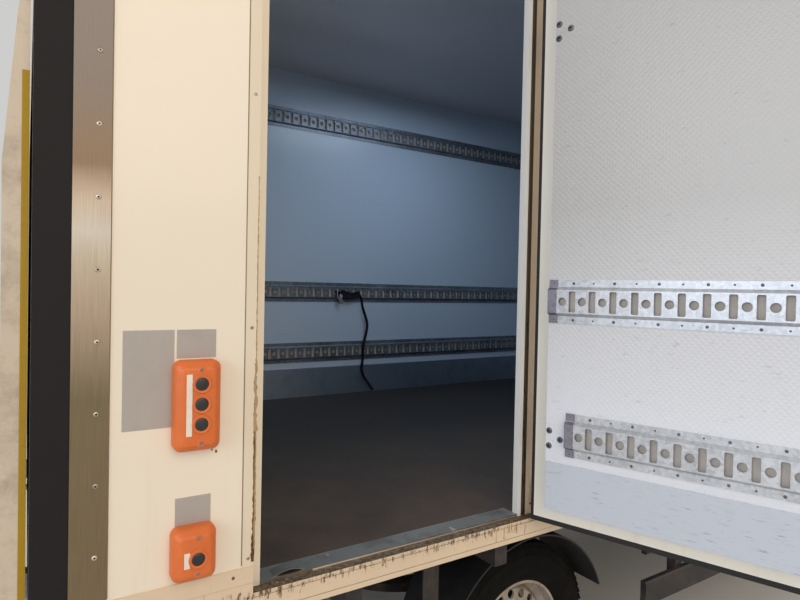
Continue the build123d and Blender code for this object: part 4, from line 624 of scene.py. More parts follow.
# Load floor: dark resin with grit in it, worn brown where it is walked on.
FLOOR = trodden_floor("anti_slip_floor_resin", "#2A2624", "#5A4A3D", "#8A8078")
# Cab windows: clear laminated glass, faintly green.
GLASS = glazing("laminated_glass", "#E8F2EE")
# Headlamp covers: clear polycarbonate.
LAMP_GLASS = glazing("headlamp_polycarbonate", "#F2F5F6", 0.85, 0.05)
# Rear lamps: smooth red acrylic.
LAMP_RED = moulded("lamp_red_acrylic", "#A3130F", "#7A1C14", 0.15, 9.0, 0.1, 0.1)

# The finish of each node of the solids
NODE_FINISHES = {
    "chassis_frame": CHASSIS, "body_subframe": CHASSIS, "engine_and_exhaust": CHASSIS,
    "fuel_tank": BLACK_PLASTIC, "rear_mudguards": BLACK_PLASTIC, "front_axle": CHASSIS,
    "rear_axle": CHASSIS, "cab_shell": CAB_PAINT, "front_bumper": BLACK_PLASTIC, "headlamps": LAMP_GLASS,
    "grille": BLACK_PLASTIC, "windscreen": GLASS, "seats": SEAT_CLOTH, "dashboard": DASH,
    "box_floor": FLOOR, "box_roof": CEILING_LINING, "box_wall_left": SKIN, "box_wall_right": SKIN,
    "box_wall_front": SKIN, "box_side_rails": RAIL_PAINT, "box_corner_trim": ALUMINIUM,
    "rear_frame": STAINLESS, "side_door_frame": JAMB_FLANGE, "wall_rails": ZINC_WALL,
    "kick_plates": TREAD_SHEET, "rear_doors": SKIN, "rear_door_edges": EDGE_BLACK, "rear_door_locks": ZINC,
    "lift_frame": ZINC_FRAME, "lift_controls": ORANGE, "refrigeration_unit": UNIT_SHELL,
    "rear_lamps": LAMP_RED, "side_door_panel": DOOR_LINING, "side_door_seal": RUBBER,
    "side_door_rails": ZINC, "side_door_hardware": ZINC, "lift_arms": ZINC_FRAME, "lift_head": ZINC_FRAME,
    "lift_links": ZINC_FRAME, "lift_platform": DECK, "knuckle_left": CHASSIS, "knuckle_right": CHASSIS,
    "cab_door_left": CAB_PAINT, "cab_door_right": CAB_PAINT, "door_mirror_left": BLACK_PLASTIC,
    "door_mirror_right": BLACK_PLASTIC, "door_glass_left": GLASS, "door_glass_right": GLASS,
}
for corner in ("front_left", "front_right", "rear_left", "rear_right"):
    NODE_FINISHES["tyre_" + corner] = TYRE
    NODE_FINISHES["wheel_" + corner] = WHEEL_STEEL

for node_name, node_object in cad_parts.items():
    node_object.data.materials.clear()
    node_object.data.materials.append(NODE_FINISHES[node_name])


# Panels with an outer skin and an inner lining

def inside_box(centre, normal):
    """A face that looks into the load space."""
    return (abs(centre.y) <= BOX_HALF - WALL + MM and centre.x <= BOX_FRONT - WALL + MM
            and FLOOR_TOP - 0.2 < centre.z <= CEILING + MM)


def door_inner_face(centre, normal):
    """The open side door's face that looks into the load space when it is shut."""
    return (SHUT_DOOR @ centre).y > -BOX_HALF + DOOR_INNER - MM


def door_edge(centre, normal):
    """Everything of the side door behind its outer skin."""
    return (SHUT_DOOR @ centre).y > -BOX_HALF + MM


for wall_node in ("box_wall_left", "box_wall_right", "box_wall_front"):
    dressed(wall_node, "truck", ((inside_box, LINING), (everywhere, SKIN)))
dressed("box_roof", "truck", ((inside_box, CEILING_LINING), (everywhere, SKIN)))
dressed("side_door_panel", "side_door", ((door_inner_face, DOOR_LINING), (door_edge, PROFILE_WHITE),
                                         (everywhere, SKIN)))


def hinge_leaf(centre, normal):
    """The hinges' fixed leaves, which stand proud of the flange."""
    return centre.y < -BOX_HALF - 1.7 * MM


def jamb_face(x0, x1):
    """A test for faces of the door frame's inner stops between two places along the truck."""
    return lambda centre, normal: x0 - 0.1 * MM < centre.x < x1 + 0.1 * MM and centre.y > -BOX_HALF + 20 * MM


# Strips of the jambs between two places along the truck, in metres: the hinge side's three, the latch side's
# one, and the rest of the doorway's lining.
JAMB_STRIPS = (
    (-2.3662, -2.3502, JAMB_WHITE), (-2.3500, -2.3310, JAMB_GROOVE), (-2.3308, -2.3050, JAMB_BEIGE),
    (-3.2520, -3.2300, JAMB_STRIP), (-3.3, -2.2, JAMB_WHITE),
)
dressed("side_door_frame", "truck", (
    (hinge_leaf, ZINC), *((jamb_face(x0, x1), finish) for x0, x1, finish in JAMB_STRIPS),
    (everywhere, JAMB_FLANGE)))


def in_doorway(x):
    """A place along the truck within the side doorway or just beside it."""
    return DOOR_REAR - 0.02 < x < DOOR_FRONT + 0.02


def ledge_face(centre, normal):
    """The side rail's top where the doorway is cut into it."""
    return normal.z > 0.7 and centre.z < FLOOR_TOP + 8 * MM and centre.y < 0 and in_doorway(centre.x)


dressed("box_side_rails", "truck", ((ledge_face, LEDGE_DIRT), (everywhere, RAIL_PAINT)))


def threshold_face(centre, normal):
    """The sheet that covers the floor's edge in the doorway."""
    return centre.y < -BOX_HALF + 0.095 and in_doorway(centre.x)


dressed("kick_plates", "truck", ((threshold_face, BRIGHT_SILL), (everywhere, TREAD_SHEET)))


# Load rails

# Widths in the load rail's section, in metres: each flat flange, and each web's slope seen from the front.
RAIL_FLANGE = 0.022
RAIL_SLOPE = 0.008
RAIL_CROWN = RAIL_HEIGHT - 2 * RAIL_FLANGE - 2 * RAIL_SLOPE
RAIL_SHEET = 2.5 * MM
PIERCED = pierced_face_tree(ZINC)
PIERCED_WALL = pierced_face_tree(ZINC_WALL)
# The rails' rivets and the door's hinge bolts: zinc gone dark grey.
RIVET_DULL = galvanised("zinc_rivet_dull", "#4F5052", "#7C7E80", 0.5)
DOMES = dome_row_tree(RIVET_DULL)


def load_rail(start, end, back, middle, facing, metal=ZINC, pierced=PIERCED):
    """A load rail along X with its back at y = back, its face towards facing (-1 or +1)."""
    half = RAIL_HEIGHT / 2
    neck = half - RAIL_FLANGE
    crown = RAIL_CROWN / 2
    sheet = RAIL_SHEET
    depth = RAIL_DEPTH
    count = int((end - start - 0.05) // RAIL_PITCH)
    first = (start + end) / 2 - (count - 1) * RAIL_PITCH / 2
    face = grow(pierced, {"Cells": count, "Pitch": RAIL_PITCH, "Face Height": RAIL_CROWN,
                          "Slot Width": 20 * MM, "Slot Height": 62 * MM, "Hole Radius": 12.5 * MM,
                          "Sheet": sheet})
    place = Matrix.Translation((first, -depth + sheet, middle))
    face.transform(place @ Matrix.Rotation(math.radians(90), 4, "X"))
    meshes = [face]
    for side in (-1, 1):
        flange = [(0, side * half), (-sheet, side * half), (-sheet, side * neck), (0, side * neck)]
        web = [(-sheet, side * (neck + 1 * MM)), (-depth, side * crown),
               (-depth + sheet, side * (crown - 1 * MM)), (0, side * (neck - 3 * MM))]
        for outline in (flange, web):
            meshes.append(ribbon([(y, z + middle) for y, z in outline], start, end, metal))
        for shift, radius in ((0.0, 4.2 * MM), (1.0, 2.8 * MM)):
            place = (first + (shift - 0.25) * RAIL_PITCH, -sheet, middle + side * (half - 10 * MM))
            meshes.append(grow(DOMES, {"Count": (count + 1) // 2, "Start": place,
                                       "Step": (2 * RAIL_PITCH, 0, 0), "Head Radius": radius,
                                       "Head Height": 1.6 * MM}))
    # A thin sheet on the wall behind the slots, in a colour that paints the shade inside them.
    shade = [(-1 * MM, -crown), (-1 * MM, crown), (0, crown), (0, -crown)]
    meshes.append(ribbon([(y, z + middle) for y, z in shade], start + 0.03, end - 0.03, SLOT_SHADE))
    plain = [(-depth, -crown), (-depth, crown), (-depth + sheet, crown), (-depth + sheet, -crown)]
    cap = [(0, -half), (-sheet - MM, -half), (-sheet - MM, -neck), (-depth - MM, -crown),
           (-depth - MM, crown), (-sheet - MM, neck), (-sheet - MM, half), (0, half)]
    for x0, x1, cap0, cap1 in ((start, first - RAIL_PITCH / 2, start - MM, start + 0.027),
                               (first + (count - 0.5) * RAIL_PITCH, end, end - 0.027, end + MM)):
        meshes.append(ribbon([(y, z + middle) for y, z in plain], x0, x1, metal))
        meshes.append(ribbon([(y, z + middle) for y, z in cap], cap0, cap1, ZINC_DARK))
    rail = joined("load_rail", meshes)
    if facing > 0:
        rail.transform(Matrix.Scale(-1, 4, (0, 1, 0)))
        rail.flip_normals()
    rail.transform(Matrix.Translation((0, back, 0)))
    return rail


def make_wall_rails():
    """The load rails along both walls, broken on the right by the doorway."""
    start, end = POST_FRONT + 0.025, BOX_FRONT - WALL - 0.025
    inner = BOX_HALF - WALL
    rails = []
    for height in WALL_RAIL_HEIGHTS:
        for begin, stop, back, facing in ((start, end, inner, -1), (start, DOOR_REAR - 0.060, -inner, 1),
                                          (DOOR_FRONT + 0.060, end, -inner, 1)):
            rails.append(load_rail(begin, stop, back, height, facing, ZINC_WALL, PIERCED_WALL))
    finish_piece("load_rails", joined("load_rails", rails), "truck", nodes=("wall_rails",))


def make_door_rails():
    """The open door's two rails and its kick sheet."""
    plug_rear, plug_front = DOOR_REAR + 0.032, DOOR_FRONT - 0.061
    inner = -BOX_HALF + DOOR_INNER
    pieces = []
    for height, inset in ((WALL_RAIL_HEIGHTS[1], 2 * MM), (WALL_RAIL_HEIGHTS[0], 64 * MM)):
        pieces.append(load_rail(plug_rear + inset, plug_front - inset, inner, height, 1))
    kick = slab((plug_rear + 0.002, inner, 0.979), (plug_front - 0.002, inner + 3 * MM, FLOOR_TOP + 0.204),
                1 * MM, 1, DOOR_KICK)
    pieces.append(kick)
    whole = joined("door_rails", pieces)
    whole.transform(OPEN_DOOR)
    finish_piece("door_rails_and_kick", whole, "side_door", nodes=("side_door_rails",))


make_wall_rails()
make_door_rails()


# Lift control boxes and blank sign plates on the right wall

# The buttons: smooth black plastic with a small highlight.
BUTTON_BLACK = moulded("abs_button_black", "#232326", "#4A4A4D", 0.35, 0.8, 0.05, 0.4)
# The label strip beside the buttons: white vinyl, a little yellowed.
LABEL_WHITE = moulded("vinyl_label_white", "#E9E4D8", "#B9AE9B", 0.5, 3.0, 0.02, 0.4)
# The blank sign plates: flat grey film.
SIGN_GREY = moulded("polyester_sign_plate", "#ACA6A1", "#96908B", 0.42, 6.0, 0.02, 0.4)
# The boxes' screws: zinc with grease in it.
DIRTY_SCREW = galvanised("zinc_screw_dull", "#6E6A64", "#A09A90", 0.45)
CONTROL_BOXES = (
    # rear x, front x, low z, high z, button heights
    (-3.441, -3.341, 1.277, 1.477, (1.427, 1.383, 1.339)),
    (-3.441, -3.346, 0.990, 1.109, (1.044,)),
)
SIGN_PLATES = (
    # rear x, front x, low z, high z
    (-3.540, -3.437, 1.330, 1.543),
    (-3.432, -3.347, 1.480, 1.543),
    (-3.431, -3.354, 1.090, 1.170),
)


def rounded_rectangle(x0, x1, z0, z1, radius, steps=6):
    """Corner points of a rectangle with rounded corners, anticlockwise seen from -Y."""
    points = []
    for cx, cz, a in ((x1 - radius, z0 + radius, -90), (x1 - radius, z1 - radius, 0),
                      (x0 + radius, z1 - radius, 90), (x0 + radius, z0 + radius, 180)):
        for i in range(steps + 1):
            angle = math.radians(a + 90 * i / steps)
            points.append((cx + radius * math.cos(angle), cz + radius * math.sin(angle)))
    return points


# Rings of a control box's housing in mm: out from the wall, in from its outline, and the corner's radius.
HOUSING_RINGS = ((0, 0, 18), (20, 0, 18), (27, 2, 17), (31, 6, 15), (38, 12, 12), (41, 15, 10), (42, 19, 8))
HOUSING_DEPTH = 42
# Turned profiles in mm, as (radius, height): a button's collar, the button, a screw's ring and its head.
COLLAR = ((15.5, 0.0), (20.5, 0.0), (21.0, 1.5), (19.0, 3.0), (16.0, 2.0))
BUTTON = ((0.0, 4.6), (9.0, 4.2), (13.5, 3.0), (15.2, 1.0), (15.6, -1.0))
SCREW_RING = ((3.0, 0.6), (6.5, 1.4), (8.0, 0.2))
SCREW_HEAD = ((0.0, 0.9), (4.0, 0.9), (5.0, -0.4))
OUTWARDS_RIGHT = Matrix.Rotation(math.pi, 4, "X")


def make_controls():
    """Two housings with round buttons, a label strip and two screws each, and blank plates beside them."""
    face = -BOX_HALF
    meshes = []

    def turned(profile, steps, finish, x, z, out):
        """One turned part on the housing's front, out mm off the wall."""
        rings = [(radius * MM, height * MM) for radius, height in profile]
        meshes.append(lathe(rings, steps, finish, (x, face - out * MM, z), OUTWARDS_RIGHT))

    for x0, x1, z0, z1, buttons in CONTROL_BOXES:
        rings = []
        for out, inset, radius in HOUSING_RINGS:
            i = inset * MM
            outline = rounded_rectangle(x0 + i, x1 - i, z0 + i, z1 - i, radius * MM)
            rings.append([(x, face - out * MM, z) for x, z in outline])
        meshes.append(skinned(rings, ORANGE))
        middle = (x0 + x1) / 2 + 4 * MM
        for z in buttons:
            turned(COLLAR, 32, ORANGE, middle, z, HOUSING_DEPTH)
            turned(BUTTON, 32, BUTTON_BLACK, middle, z, HOUSING_DEPTH)
        low, high = min(buttons) - 24 * MM, max(buttons) + 22 * MM
        if len(buttons) == 1:
            low, high = buttons[0] - 17 * MM, buttons[0] + 17 * MM
        meshes.append(slab((x0 + 22 * MM, face - 43.2 * MM, low), (x0 + 34 * MM, face - 41 * MM, high),
                           0.4 * MM, 1, LABEL_WHITE))
        for z in (z0 + 20 * MM, z1 - 20 * MM):
            turned(SCREW_RING, 20, ORANGE, middle, z, 41.4)
            turned(SCREW_HEAD, 16, DIRTY_SCREW, middle, z, 41.8)
    finish_piece("lift_control_boxes", joined("control_boxes", meshes), "truck", smooth=35,
                 nodes=("lift_controls",))
    plates = [slab((x0, face - 0.8 * MM, z0), (x1, face + 0.2 * MM, z1), 0.2 * MM, 1, SIGN_GREY)
              for x0, x1, z0, z1 in SIGN_PLATES]
    finish_piece("blank_sign_plates", joined("sign_plates", plates), "truck")


make_controls()


# Screws and rivets of the body

# Screws along the upright and the flange: stainless, with a small bright highlight.
SCREW_BRIGHT = galvanised("stainless_screw_head", "#9A9184", "#E2D9CA", 0.3, 0.7)
# The drive recess in each head: a dark dot, the painted shade of the recess with dirt in it.
RECESS_DARK = moulded("recess_dirt_and_painted_shade", "#241E18", "#3A3128", 0.8)
# Places in metres: the screws up each upright, the door frame's screws, and the hinge bolts in threes.
POST_SCREW_X = -3.588
POST_SCREW_HEIGHTS = [1.077 + 0.148 * i for i in range(14)]
FRAME_SCREW_HEIGHTS = [1.000 + 0.545 * i for i in range(4)]
HINGE_BOLTS = ((-2.3815, 2.454), (-2.4180, 2.434), (-2.3815, 2.4116), (-2.3815, 1.2202), (-2.3815, 1.1741),
               (-2.4165, 1.197))


def screw(place, radius, height, turn, recess=0.36, finish=SCREW_BRIGHT):
    """A pan head with a flat rim and a drive recess drawn as a dark dot of painted shade, its axis along Y
    before it is turned.
    """
    profile = [(0.0, height * 0.92), (radius * recess, height), (radius * 0.62, height),
               (radius * 0.9, height * 0.55), (radius, height * 0.2), (radius, -height)]
    # The drive is not cut into the head: a dark dot on it paints the shade in the recess.
    drive = [(0.0, height * 1.08), (radius * recess, height * 1.04), (radius * recess, 0.0)]
    return [lathe(profile, 20, finish, place, turn), lathe(drive, 6, RECESS_DARK, place, turn)]


def make_screws():
    """The screws of both uprights and of the doorway's flange."""
    right = -BOX_HALF - 3 * MM
    heads = []
    for z in POST_SCREW_HEIGHTS:
        heads += screw((POST_SCREW_X, right, z), 5.4 * MM, 2.0 * MM, OUTWARDS_RIGHT, 0.42)
        heads += screw((POST_SCREW_X, -right, z), 5.4 * MM, 2.0 * MM, Matrix.Identity(4), 0.42)
    for x in (DOOR_REAR - 0.018, DOOR_FRONT + 0.018):
        for z in FRAME_SCREW_HEIGHTS:
            heads += screw((x, -BOX_HALF - 1.5 * MM, z), 4.5 * MM, 1.6 * MM, OUTWARDS_RIGHT)
    finish_piece("body_screws", joined("body_screws", heads), "truck", smooth=40)


def make_door_bolts():
    """The heads of the hinge bolts on the side door's inner face."""
    inner = -BOX_HALF + DOOR_INNER
    heads = []
    for x, z in HINGE_BOLTS:
        heads += screw((x, inner, z), 9.5 * MM, 3.5 * MM, Matrix.Identity(4), 0.45, RIVET_DULL)
    bolts = joined("door_bolts", heads)
    bolts.transform(OPEN_DOOR)
    finish_piece("door_hinge_bolts", bolts, "side_door", smooth=40)


def make_seams():
    """Old sealant where the right panel meets the upright and the flange round the doorway."""
    face = -BOX_HALF
    foot = 0.985
    aside = 33.2 * MM
    seams = []
    # place along the truck, top, how proud and how wide in mm
    for x, high, proud, width in ((POST_FRONT + 1.0 * MM, 2.99, 1.4, 2.6),
                                  (DOOR_REAR - aside, DOOR_TOP + 0.03, 0.9, 2.4),
                                  (DOOR_FRONT + aside, DOOR_TOP + 0.03, 0.9, 2.4)):
        half = width / 2 * MM
        seams.append(slab((x - half, face - proud * MM, foot), (x + half, face + 0.5 * MM, high), 0.4 * MM, 1,
                          SEALANT))
    top = DOOR_TOP + 33.2 * MM
    seams.append(slab((DOOR_REAR - 33 * MM, face - 0.9 * MM, top - 1.2 * MM),
                      (DOOR_FRONT + 33 * MM, face + 0.5 * MM, top + 1.2 * MM), 0.4 * MM, 1, SEALANT))
    finish_piece("sealant_seams", joined("sealant_seams", seams), "truck", smooth=40)
# Dirt packed in corners: dull brown, with a crumbly skin.
PACKED_DIRT = moulded("packed_road_dirt", "#5C452B", "#A98A62", 0.92, 3.0, 0.9, 1.0, 0.2)
# Thinner runs of it: pale brown, with the paint showing through.
FAINT_DIRT = moulded("thin_road_dirt", "#A68A64", "#C3AA86", 0.9, 3.0, 0.3, 1.0, 0.3)


def dirt_run(x, z0, z1, width, seed, plane, proud=0.35, finish=PACKED_DIRT):
    """A run of packed dirt up a face that looks along -Y: a thin skin with ragged edges, tapered upwards."""
    dice = random.Random(seed)
    steps = max(4, int((z1 - z0) / 0.006))
    front, back = plane - proud * MM, plane + 0.3 * MM
    rings = []
    drift = 0.0
    for i in range(steps + 1):
        t = i / steps
        drift = 0.7 * drift + dice.uniform(-0.1, 0.1) * width
        half = width * (0.5 - 0.2 * t) * dice.uniform(0.55, 1.15)
        z = z0 + (z1 - z0) * t
        left, right = x + drift - half, x + drift + half * dice.uniform(0.6, 1.2)
        rings.append([(left, front, z), (right, front, z), (right, back, z), (left, back, z)])
    return skinned(rings, finish)
def make_dirt():
    """Dirt up the latch jamb's corner, in drips below the doorway and under the control boxes."""
    flange = -BOX_HALF - 1.5 * MM
    rail = -BOX_HALF - 3.0 * MM
    runs = [dirt_run(-3.2535, 0.990, 1.430, 9.0 * MM, 3, flange, 0.30),
            dirt_run(-3.2510, 1.020, 1.300, 5.0 * MM, 8, flange, 0.34, FAINT_DIRT),
            dirt_run(-3.2530, 1.300, 1.470, 10.0 * MM, 5, flange, 0.34, FAINT_DIRT),
            dirt_run(-3.2530, 1.470, 1.900, 4.0 * MM, 9, flange, 0.30, FAINT_DIRT)]
    dice = random.Random(17)
    for i in range(9):
        x = -2.42 + dice.gauss(0.0, 0.035)
        top = 0.9135 if i % 2 else 0.902
        runs.append(dirt_run(x, top - dice.uniform(0.010, 0.036), top, dice.uniform(3.0, 6.0) * MM, 100 + i,
                             rail, 0.25, FAINT_DIRT))
    for x, z, size in ((-3.352, 1.272, 5.0), (-3.343, 1.268, 7.0), (-3.362, 0.984, 5.0),
                       (-3.350, 0.986, 4.0)):
        runs.append(dirt_run(x, z - size * MM, z, size * MM, int(size * 10), -BOX_HALF, 0.2))
    finish_piece("packed_dirt", joined("packed_dirt", runs), "truck")


make_screws()
make_door_bolts()
make_seams()
make_dirt()


# The sill sheet's edge in a painted highlight, and its lifted end

# The sill sheet's edge: pale brushed stainless, its brightness a painted highlight along the edge.
SILL_RIM_PAINTED_HIGHLIGHT = brushed("sill_rim_painted_highlight", "#EFE8DB", "X", 0.34, "#A08D74", 0.2)
# Crumbs on the sill and its ledge: small pale-brown lumps.
GRIT = moulded("dried_mud_crumbs", "#8A7458", "#C9BBA0", 0.9, 2.0, 0.5, 0.6)
# Crumbs as place along the truck, place across it, both in metres, and size in mm.
CRUMBS = ((-3.185, -1.125, 5), (-3.172, -1.132, 3.5), (-3.160, -1.122, 4), (-3.196, -1.120, 3),
          (-3.02, -1.129, 2.5), (-2.78, -1.127, 2.2), (-2.45, -1.126, 3), (-3.14, -1.06, 4))
LEDGE_TOP = 0.9145


def bent_sheet(x0, x1, y0, y1, base, rise, thick, material):
    """A strip of sheet that lifts off its seat in the middle and lies down at both ends."""
    steps = 16
    rings = []
    for i in range(steps + 1):
        t = i / steps
        lift = rise * math.sin(math.pi * t) ** 1.5
        x, near, far = x0 + (x1 - x0) * t, base + lift, base + 0.7 * lift
        rings.append([(x, y0, near), (x, y1, far), (x, y1, far + thick), (x, y0, near + thick)])
    return skinned(rings, material)
def make_sill():
    """The sill sheet's edge in a painted highlight, the end that has come up, and crumbs of mud on the ledge.
    """
    edge = -BOX_HALF + 28 * MM
    top = FLOOR_TOP - 5 * MM
    # The edge strip's pale colour paints the highlight along the sill's edge.
    pieces = [slab((-3.085, edge - 1.2 * MM, top - 4 * MM), (-2.372, edge + 1.6 * MM, top + 1.2 * MM),
                   0.6 * MM, 2, SILL_RIM_PAINTED_HIGHLIGHT),
              bent_sheet(-3.205, -3.088, edge + 5 * MM, edge + 45 * MM, top, 12 * MM, 2 * MM, BRIGHT_SILL),
              bent_sheet(-2.64, -2.60, edge + 2 * MM, edge + 30 * MM, top, 5 * MM, 1.5 * MM, SILL_RIM_PAINTED_HIGHLIGHT)]
    for x, y, size in CRUMBS:
        crumb = lathe([(0.0, 0.5), (0.7, 0.35), (1.0, 0.0), (0.6, -0.4), (0.0, -0.5)], 9, GRIT)
        place = Matrix.Translation((x, y, LEDGE_TOP if y < edge else top))
        crumb.transform(place @ Matrix.Rotation(1.4, 4, "X") @ Matrix.Scale(size * MM, 4))
        pieces.append(crumb)
    finish_piece("sill_edge_and_lifted_end", joined("sill", pieces), "truck", smooth=40)
make_sill()


# Webbing strap wrapped into the far middle rail, one end hanging to the floor

# The strap: tightly woven dark polyester, nearly black with a violet cast.
WEBBING = moulded("polyester_webbing_dark", "#15121F", "#2B2838", 0.85, 1.6, 0.4, 0.5, 0.3)
# The tie's cord: soft pale grey cotton.
ROPE_GREY = moulded("cotton_tie_grey", "#8C8A86", "#B5B2AA", 0.9, 1.4, 0.5, 0.5)


def smooth_line(points, steps):
    """Points along a smooth line through the given ones."""
    knots = [Vector(p) for p in points]
    line = []
    for i in range(len(knots) - 1):
        a, b = knots[max(i - 1, 0)], knots[i]
        c, d = knots[i + 1], knots[min(i + 2, len(knots) - 1)]
        for k in range(steps):
            t = k / steps
            line.append(0.5 * ((2 * b) + (c - a) * t + (2 * a - 5 * b + 4 * c - d) * t ** 2
                               + (3 * b - a - 3 * c + d) * t ** 3))
    line.append(knots[-1])
    return line


def heading(line, i):
    """The direction of a line at one of its points."""
    return (line[min(i + 1, len(line) - 1)] - line[max(i - 1, 0)]).normalized()


def strap(points, width, thick, turns, material, steps=6):
    """Flat webbing along a smooth line, turned about it by the angles given at its points, in degrees."""
    line = smooth_line(points, steps)
    angles = smooth_line([(a, 0.0, 0.0) for a in turns], steps)
    rings = []
    for i, point in enumerate(line):
        ahead = heading(line, i)
        aside = ahead.cross(Vector((0.0, 1.0, 0.0))).normalized()
        aside = Matrix.Rotation(math.radians(angles[i][0]), 3, ahead) @ aside
        thin = ahead.cross(aside)
        rings.append([point + aside * (u * width / 2) + thin * (v * thick / 2)
                      for u, v in ((-1, -1), (1, -1), (1, 1), (-1, 1))])
    return skinned(rings, material)


def tube(points, radius, material, steps=5, sides=10):
    """A round bar along a smooth line."""
    line = smooth_line(points, steps)
    # Any direction that no bar here runs along
    side = Vector((0.31, 0.87, 0.38))
    rings = []
    for i, point in enumerate(line):
        ahead = heading(line, i)
        side = (side - ahead * side.dot(ahead)).normalized()
        up = ahead.cross(side)
        turns = [math.tau * k / sides for k in range(sides)]
        rings.append([point + (side * math.cos(a) + up * math.sin(a)) * radius for a in turns])
    return skinned(rings, material)
STRAP_TAIL = (
    # x, y, z, turn in degrees
    (-1.772, 1.066, 1.603, 10.0), (-1.757, 1.058, 1.575, 60.0), (-1.742, 1.062, 1.515, 55.0),
    (-1.715, 1.066, 1.450, 20.0), (-1.700, 1.066, 1.395, 5.0), (-1.708, 1.064, 1.335, 15.0),
    (-1.729, 1.058, 1.265, 50.0), (-1.737, 1.056, 1.200, 65.0), (-1.735, 1.060, 1.140, 60.0),
    (-1.739, 1.066, 1.085, 50.0), (-1.722, 1.066, 1.035, 40.0), (-1.690, 1.058, 0.985, 20.0),
    (-1.655, 1.048, 0.935, 5.0),
)


def make_webbing():
    """The strap's wraps, the tie's ends and the hook on the far rail, and the tail that hangs from them."""
    tail = strap([p[:3] for p in STRAP_TAIL], 19 * MM, 1.8 * MM, [p[3] for p in STRAP_TAIL], WEBBING)
    wraps = []
    for x0, x1, z0, z1, lean in ((-1.945, -1.800, 1.612, 1.588, 4.0), (-1.930, -1.785, 1.592, 1.606, -8.0),
                                 (-1.900, -1.768, 1.618, 1.598, 10.0), (-1.872, -1.762, 1.584, 1.610, -5.0)):
        middle = (x0 + x1) / 2
        wraps.append(strap([(x0, 1.073, z0), (x0 + 0.012, 1.066, z0), (middle, 1.060, (z0 + z1) / 2 - 0.008),
                            (x1 - 0.012, 1.066, z1), (x1, 1.073, z1)], 30 * MM, 2.4 * MM,
                           [lean, lean, lean * 0.5, lean, lean], WEBBING))
    for lean in (-14.0, 0.0, 12.0):
        cord = [(-1.915, 1.062, 1.604), (-1.917 - lean * MM * 0.4, 1.056, 1.585),
                (-1.913 + lean * MM * 0.5, 1.058, 1.562), (-1.910 + lean * MM, 1.062, 1.540)]
        wraps.append(tube(cord, 4.5 * MM, ROPE_GREY, sides=8))
    hook = tube([(-1.935, 1.068, 1.640), (-1.940, 1.060, 1.615), (-1.938, 1.058, 1.590),
                 (-1.925, 1.058, 1.572), (-1.908, 1.058, 1.580), (-1.905, 1.060, 1.600)], 3.5 * MM, ZINC)
    finish_piece("webbing_wraps_and_hook", joined("webbing_wraps", wraps + [hook]), "truck", smooth=35)
    hanging = finish_piece("webbing_tail", tail, "truck", smooth=35)


make_webbing()


# Cab: trims by face, then glass seals, lamps, mirrors, wipers and seats

CAB_AXLE = Vector((FRONT_AXLE, 0.0, TYRE_RADIUS))
CAB_MIDDLE = Vector((1.55, 0.0, 1.35))
# Turn signals: glossy amber acrylic.
AMBER = moulded("lamp_amber_acrylic", "#D9730C", "#B55E10", 0.15, 9.0, 0.1, 0.1)
# Bulbs and reversing lamps: glossy, nearly white acrylic.
LAMP_CLEAR = moulded("lamp_clear_acrylic", "#D8D6D2", "#B9B5AE", 0.15, 9.0, 0.1, 0.1)
# Headlamp bowls: vacuum-coated metal, almost a mirror.
REFLECTOR = brushed("aluminised_reflector", "#E6E8EA", "Y", 0.12, "#C9CBCC", 0.1)
# Mirror glasses: a clean silvered mirror.
MIRROR = brushed("silvered_mirror_glass", "#DDE3E6", "X", 0.03, "#C9D0D3", 0.05)
# Printed band round the windscreen: smooth black enamel fired into the glass.
FRIT = moulded("ceramic_frit_black", "#0E0F10", "#1B1C1E", 0.25, 6.0, 0.02, 0.2)
# Plinths under the seats: black vinyl with a little shine.
SEAT_SIDE = moulded("seat_side_vinyl", "#1F2024", "#34353A", 0.5, 1.4, 0.2, 0.3)
# Cooling unit's louvres: grey plastic painted darker, as the shade deep in the front opening.
LOUVRE_DARK = moulded("louvre_grey_painted_shade", "#4A4D50", "#6B6D6F", 0.5, 2.0, 0.1, 0.4)
def arch_ring(centre, normal):
    """The wheel arch's lip and its inner wall."""
    reach = math.hypot(centre.x - CAB_AXLE.x, centre.z - CAB_AXLE.z)
    return reach < 0.474 and centre.z > 0.33 and centre.x < 2.785


def moulding_strip(centre, normal):
    """The rubbing strip along the cab's side."""
    return abs(centre.y) > 1.0006 and 0.688 < centre.z < 0.764


def looks_inwards(centre, normal):
    """A face of the cab's walls that is seen from the seats."""
    return (CAB_MIDDLE - centre).dot(normal) > 0.05 and centre.z > 0.775 and centre.x < 2.42


def door_handle(centre, normal):
    """The cab door's pull handle."""
    return 0.9 < centre.x < 1.13 and 1.28 < centre.z < 1.335 and abs(centre.y) > 0.985


def door_inside(centre, normal):
    """The cab door's inner faces."""
    return -centre.y * normal.y > 0.05 and abs(centre.y) < 0.98


dressed("cab_shell", "truck", ((arch_ring, BLACK_PLASTIC), (moulding_strip, BLACK_PLASTIC),
                               (looks_inwards, TRIM_GREY), (everywhere, CAB_PAINT)))
for side in ("left", "right"):
    dressed("cab_door_" + side, "cab_door_" + side, (
        (moulding_strip, BLACK_PLASTIC), (door_handle, BLACK_PLASTIC), (door_inside, TRIM_GREY),
        (everywhere, CAB_PAINT)))


def louvre_face(centre, normal):
    """The condenser's louvres: everything set back inside the front opening."""
    inside = 2.555 < centre.z < 2.935 and abs(centre.y) < 0.612 and 1.03 < centre.x < 1.1295
    return inside and abs(normal.y) < 0.5


dressed("refrigeration_unit", "truck", ((louvre_face, LOUVRE_DARK), (everywhere, UNIT_SHELL)))


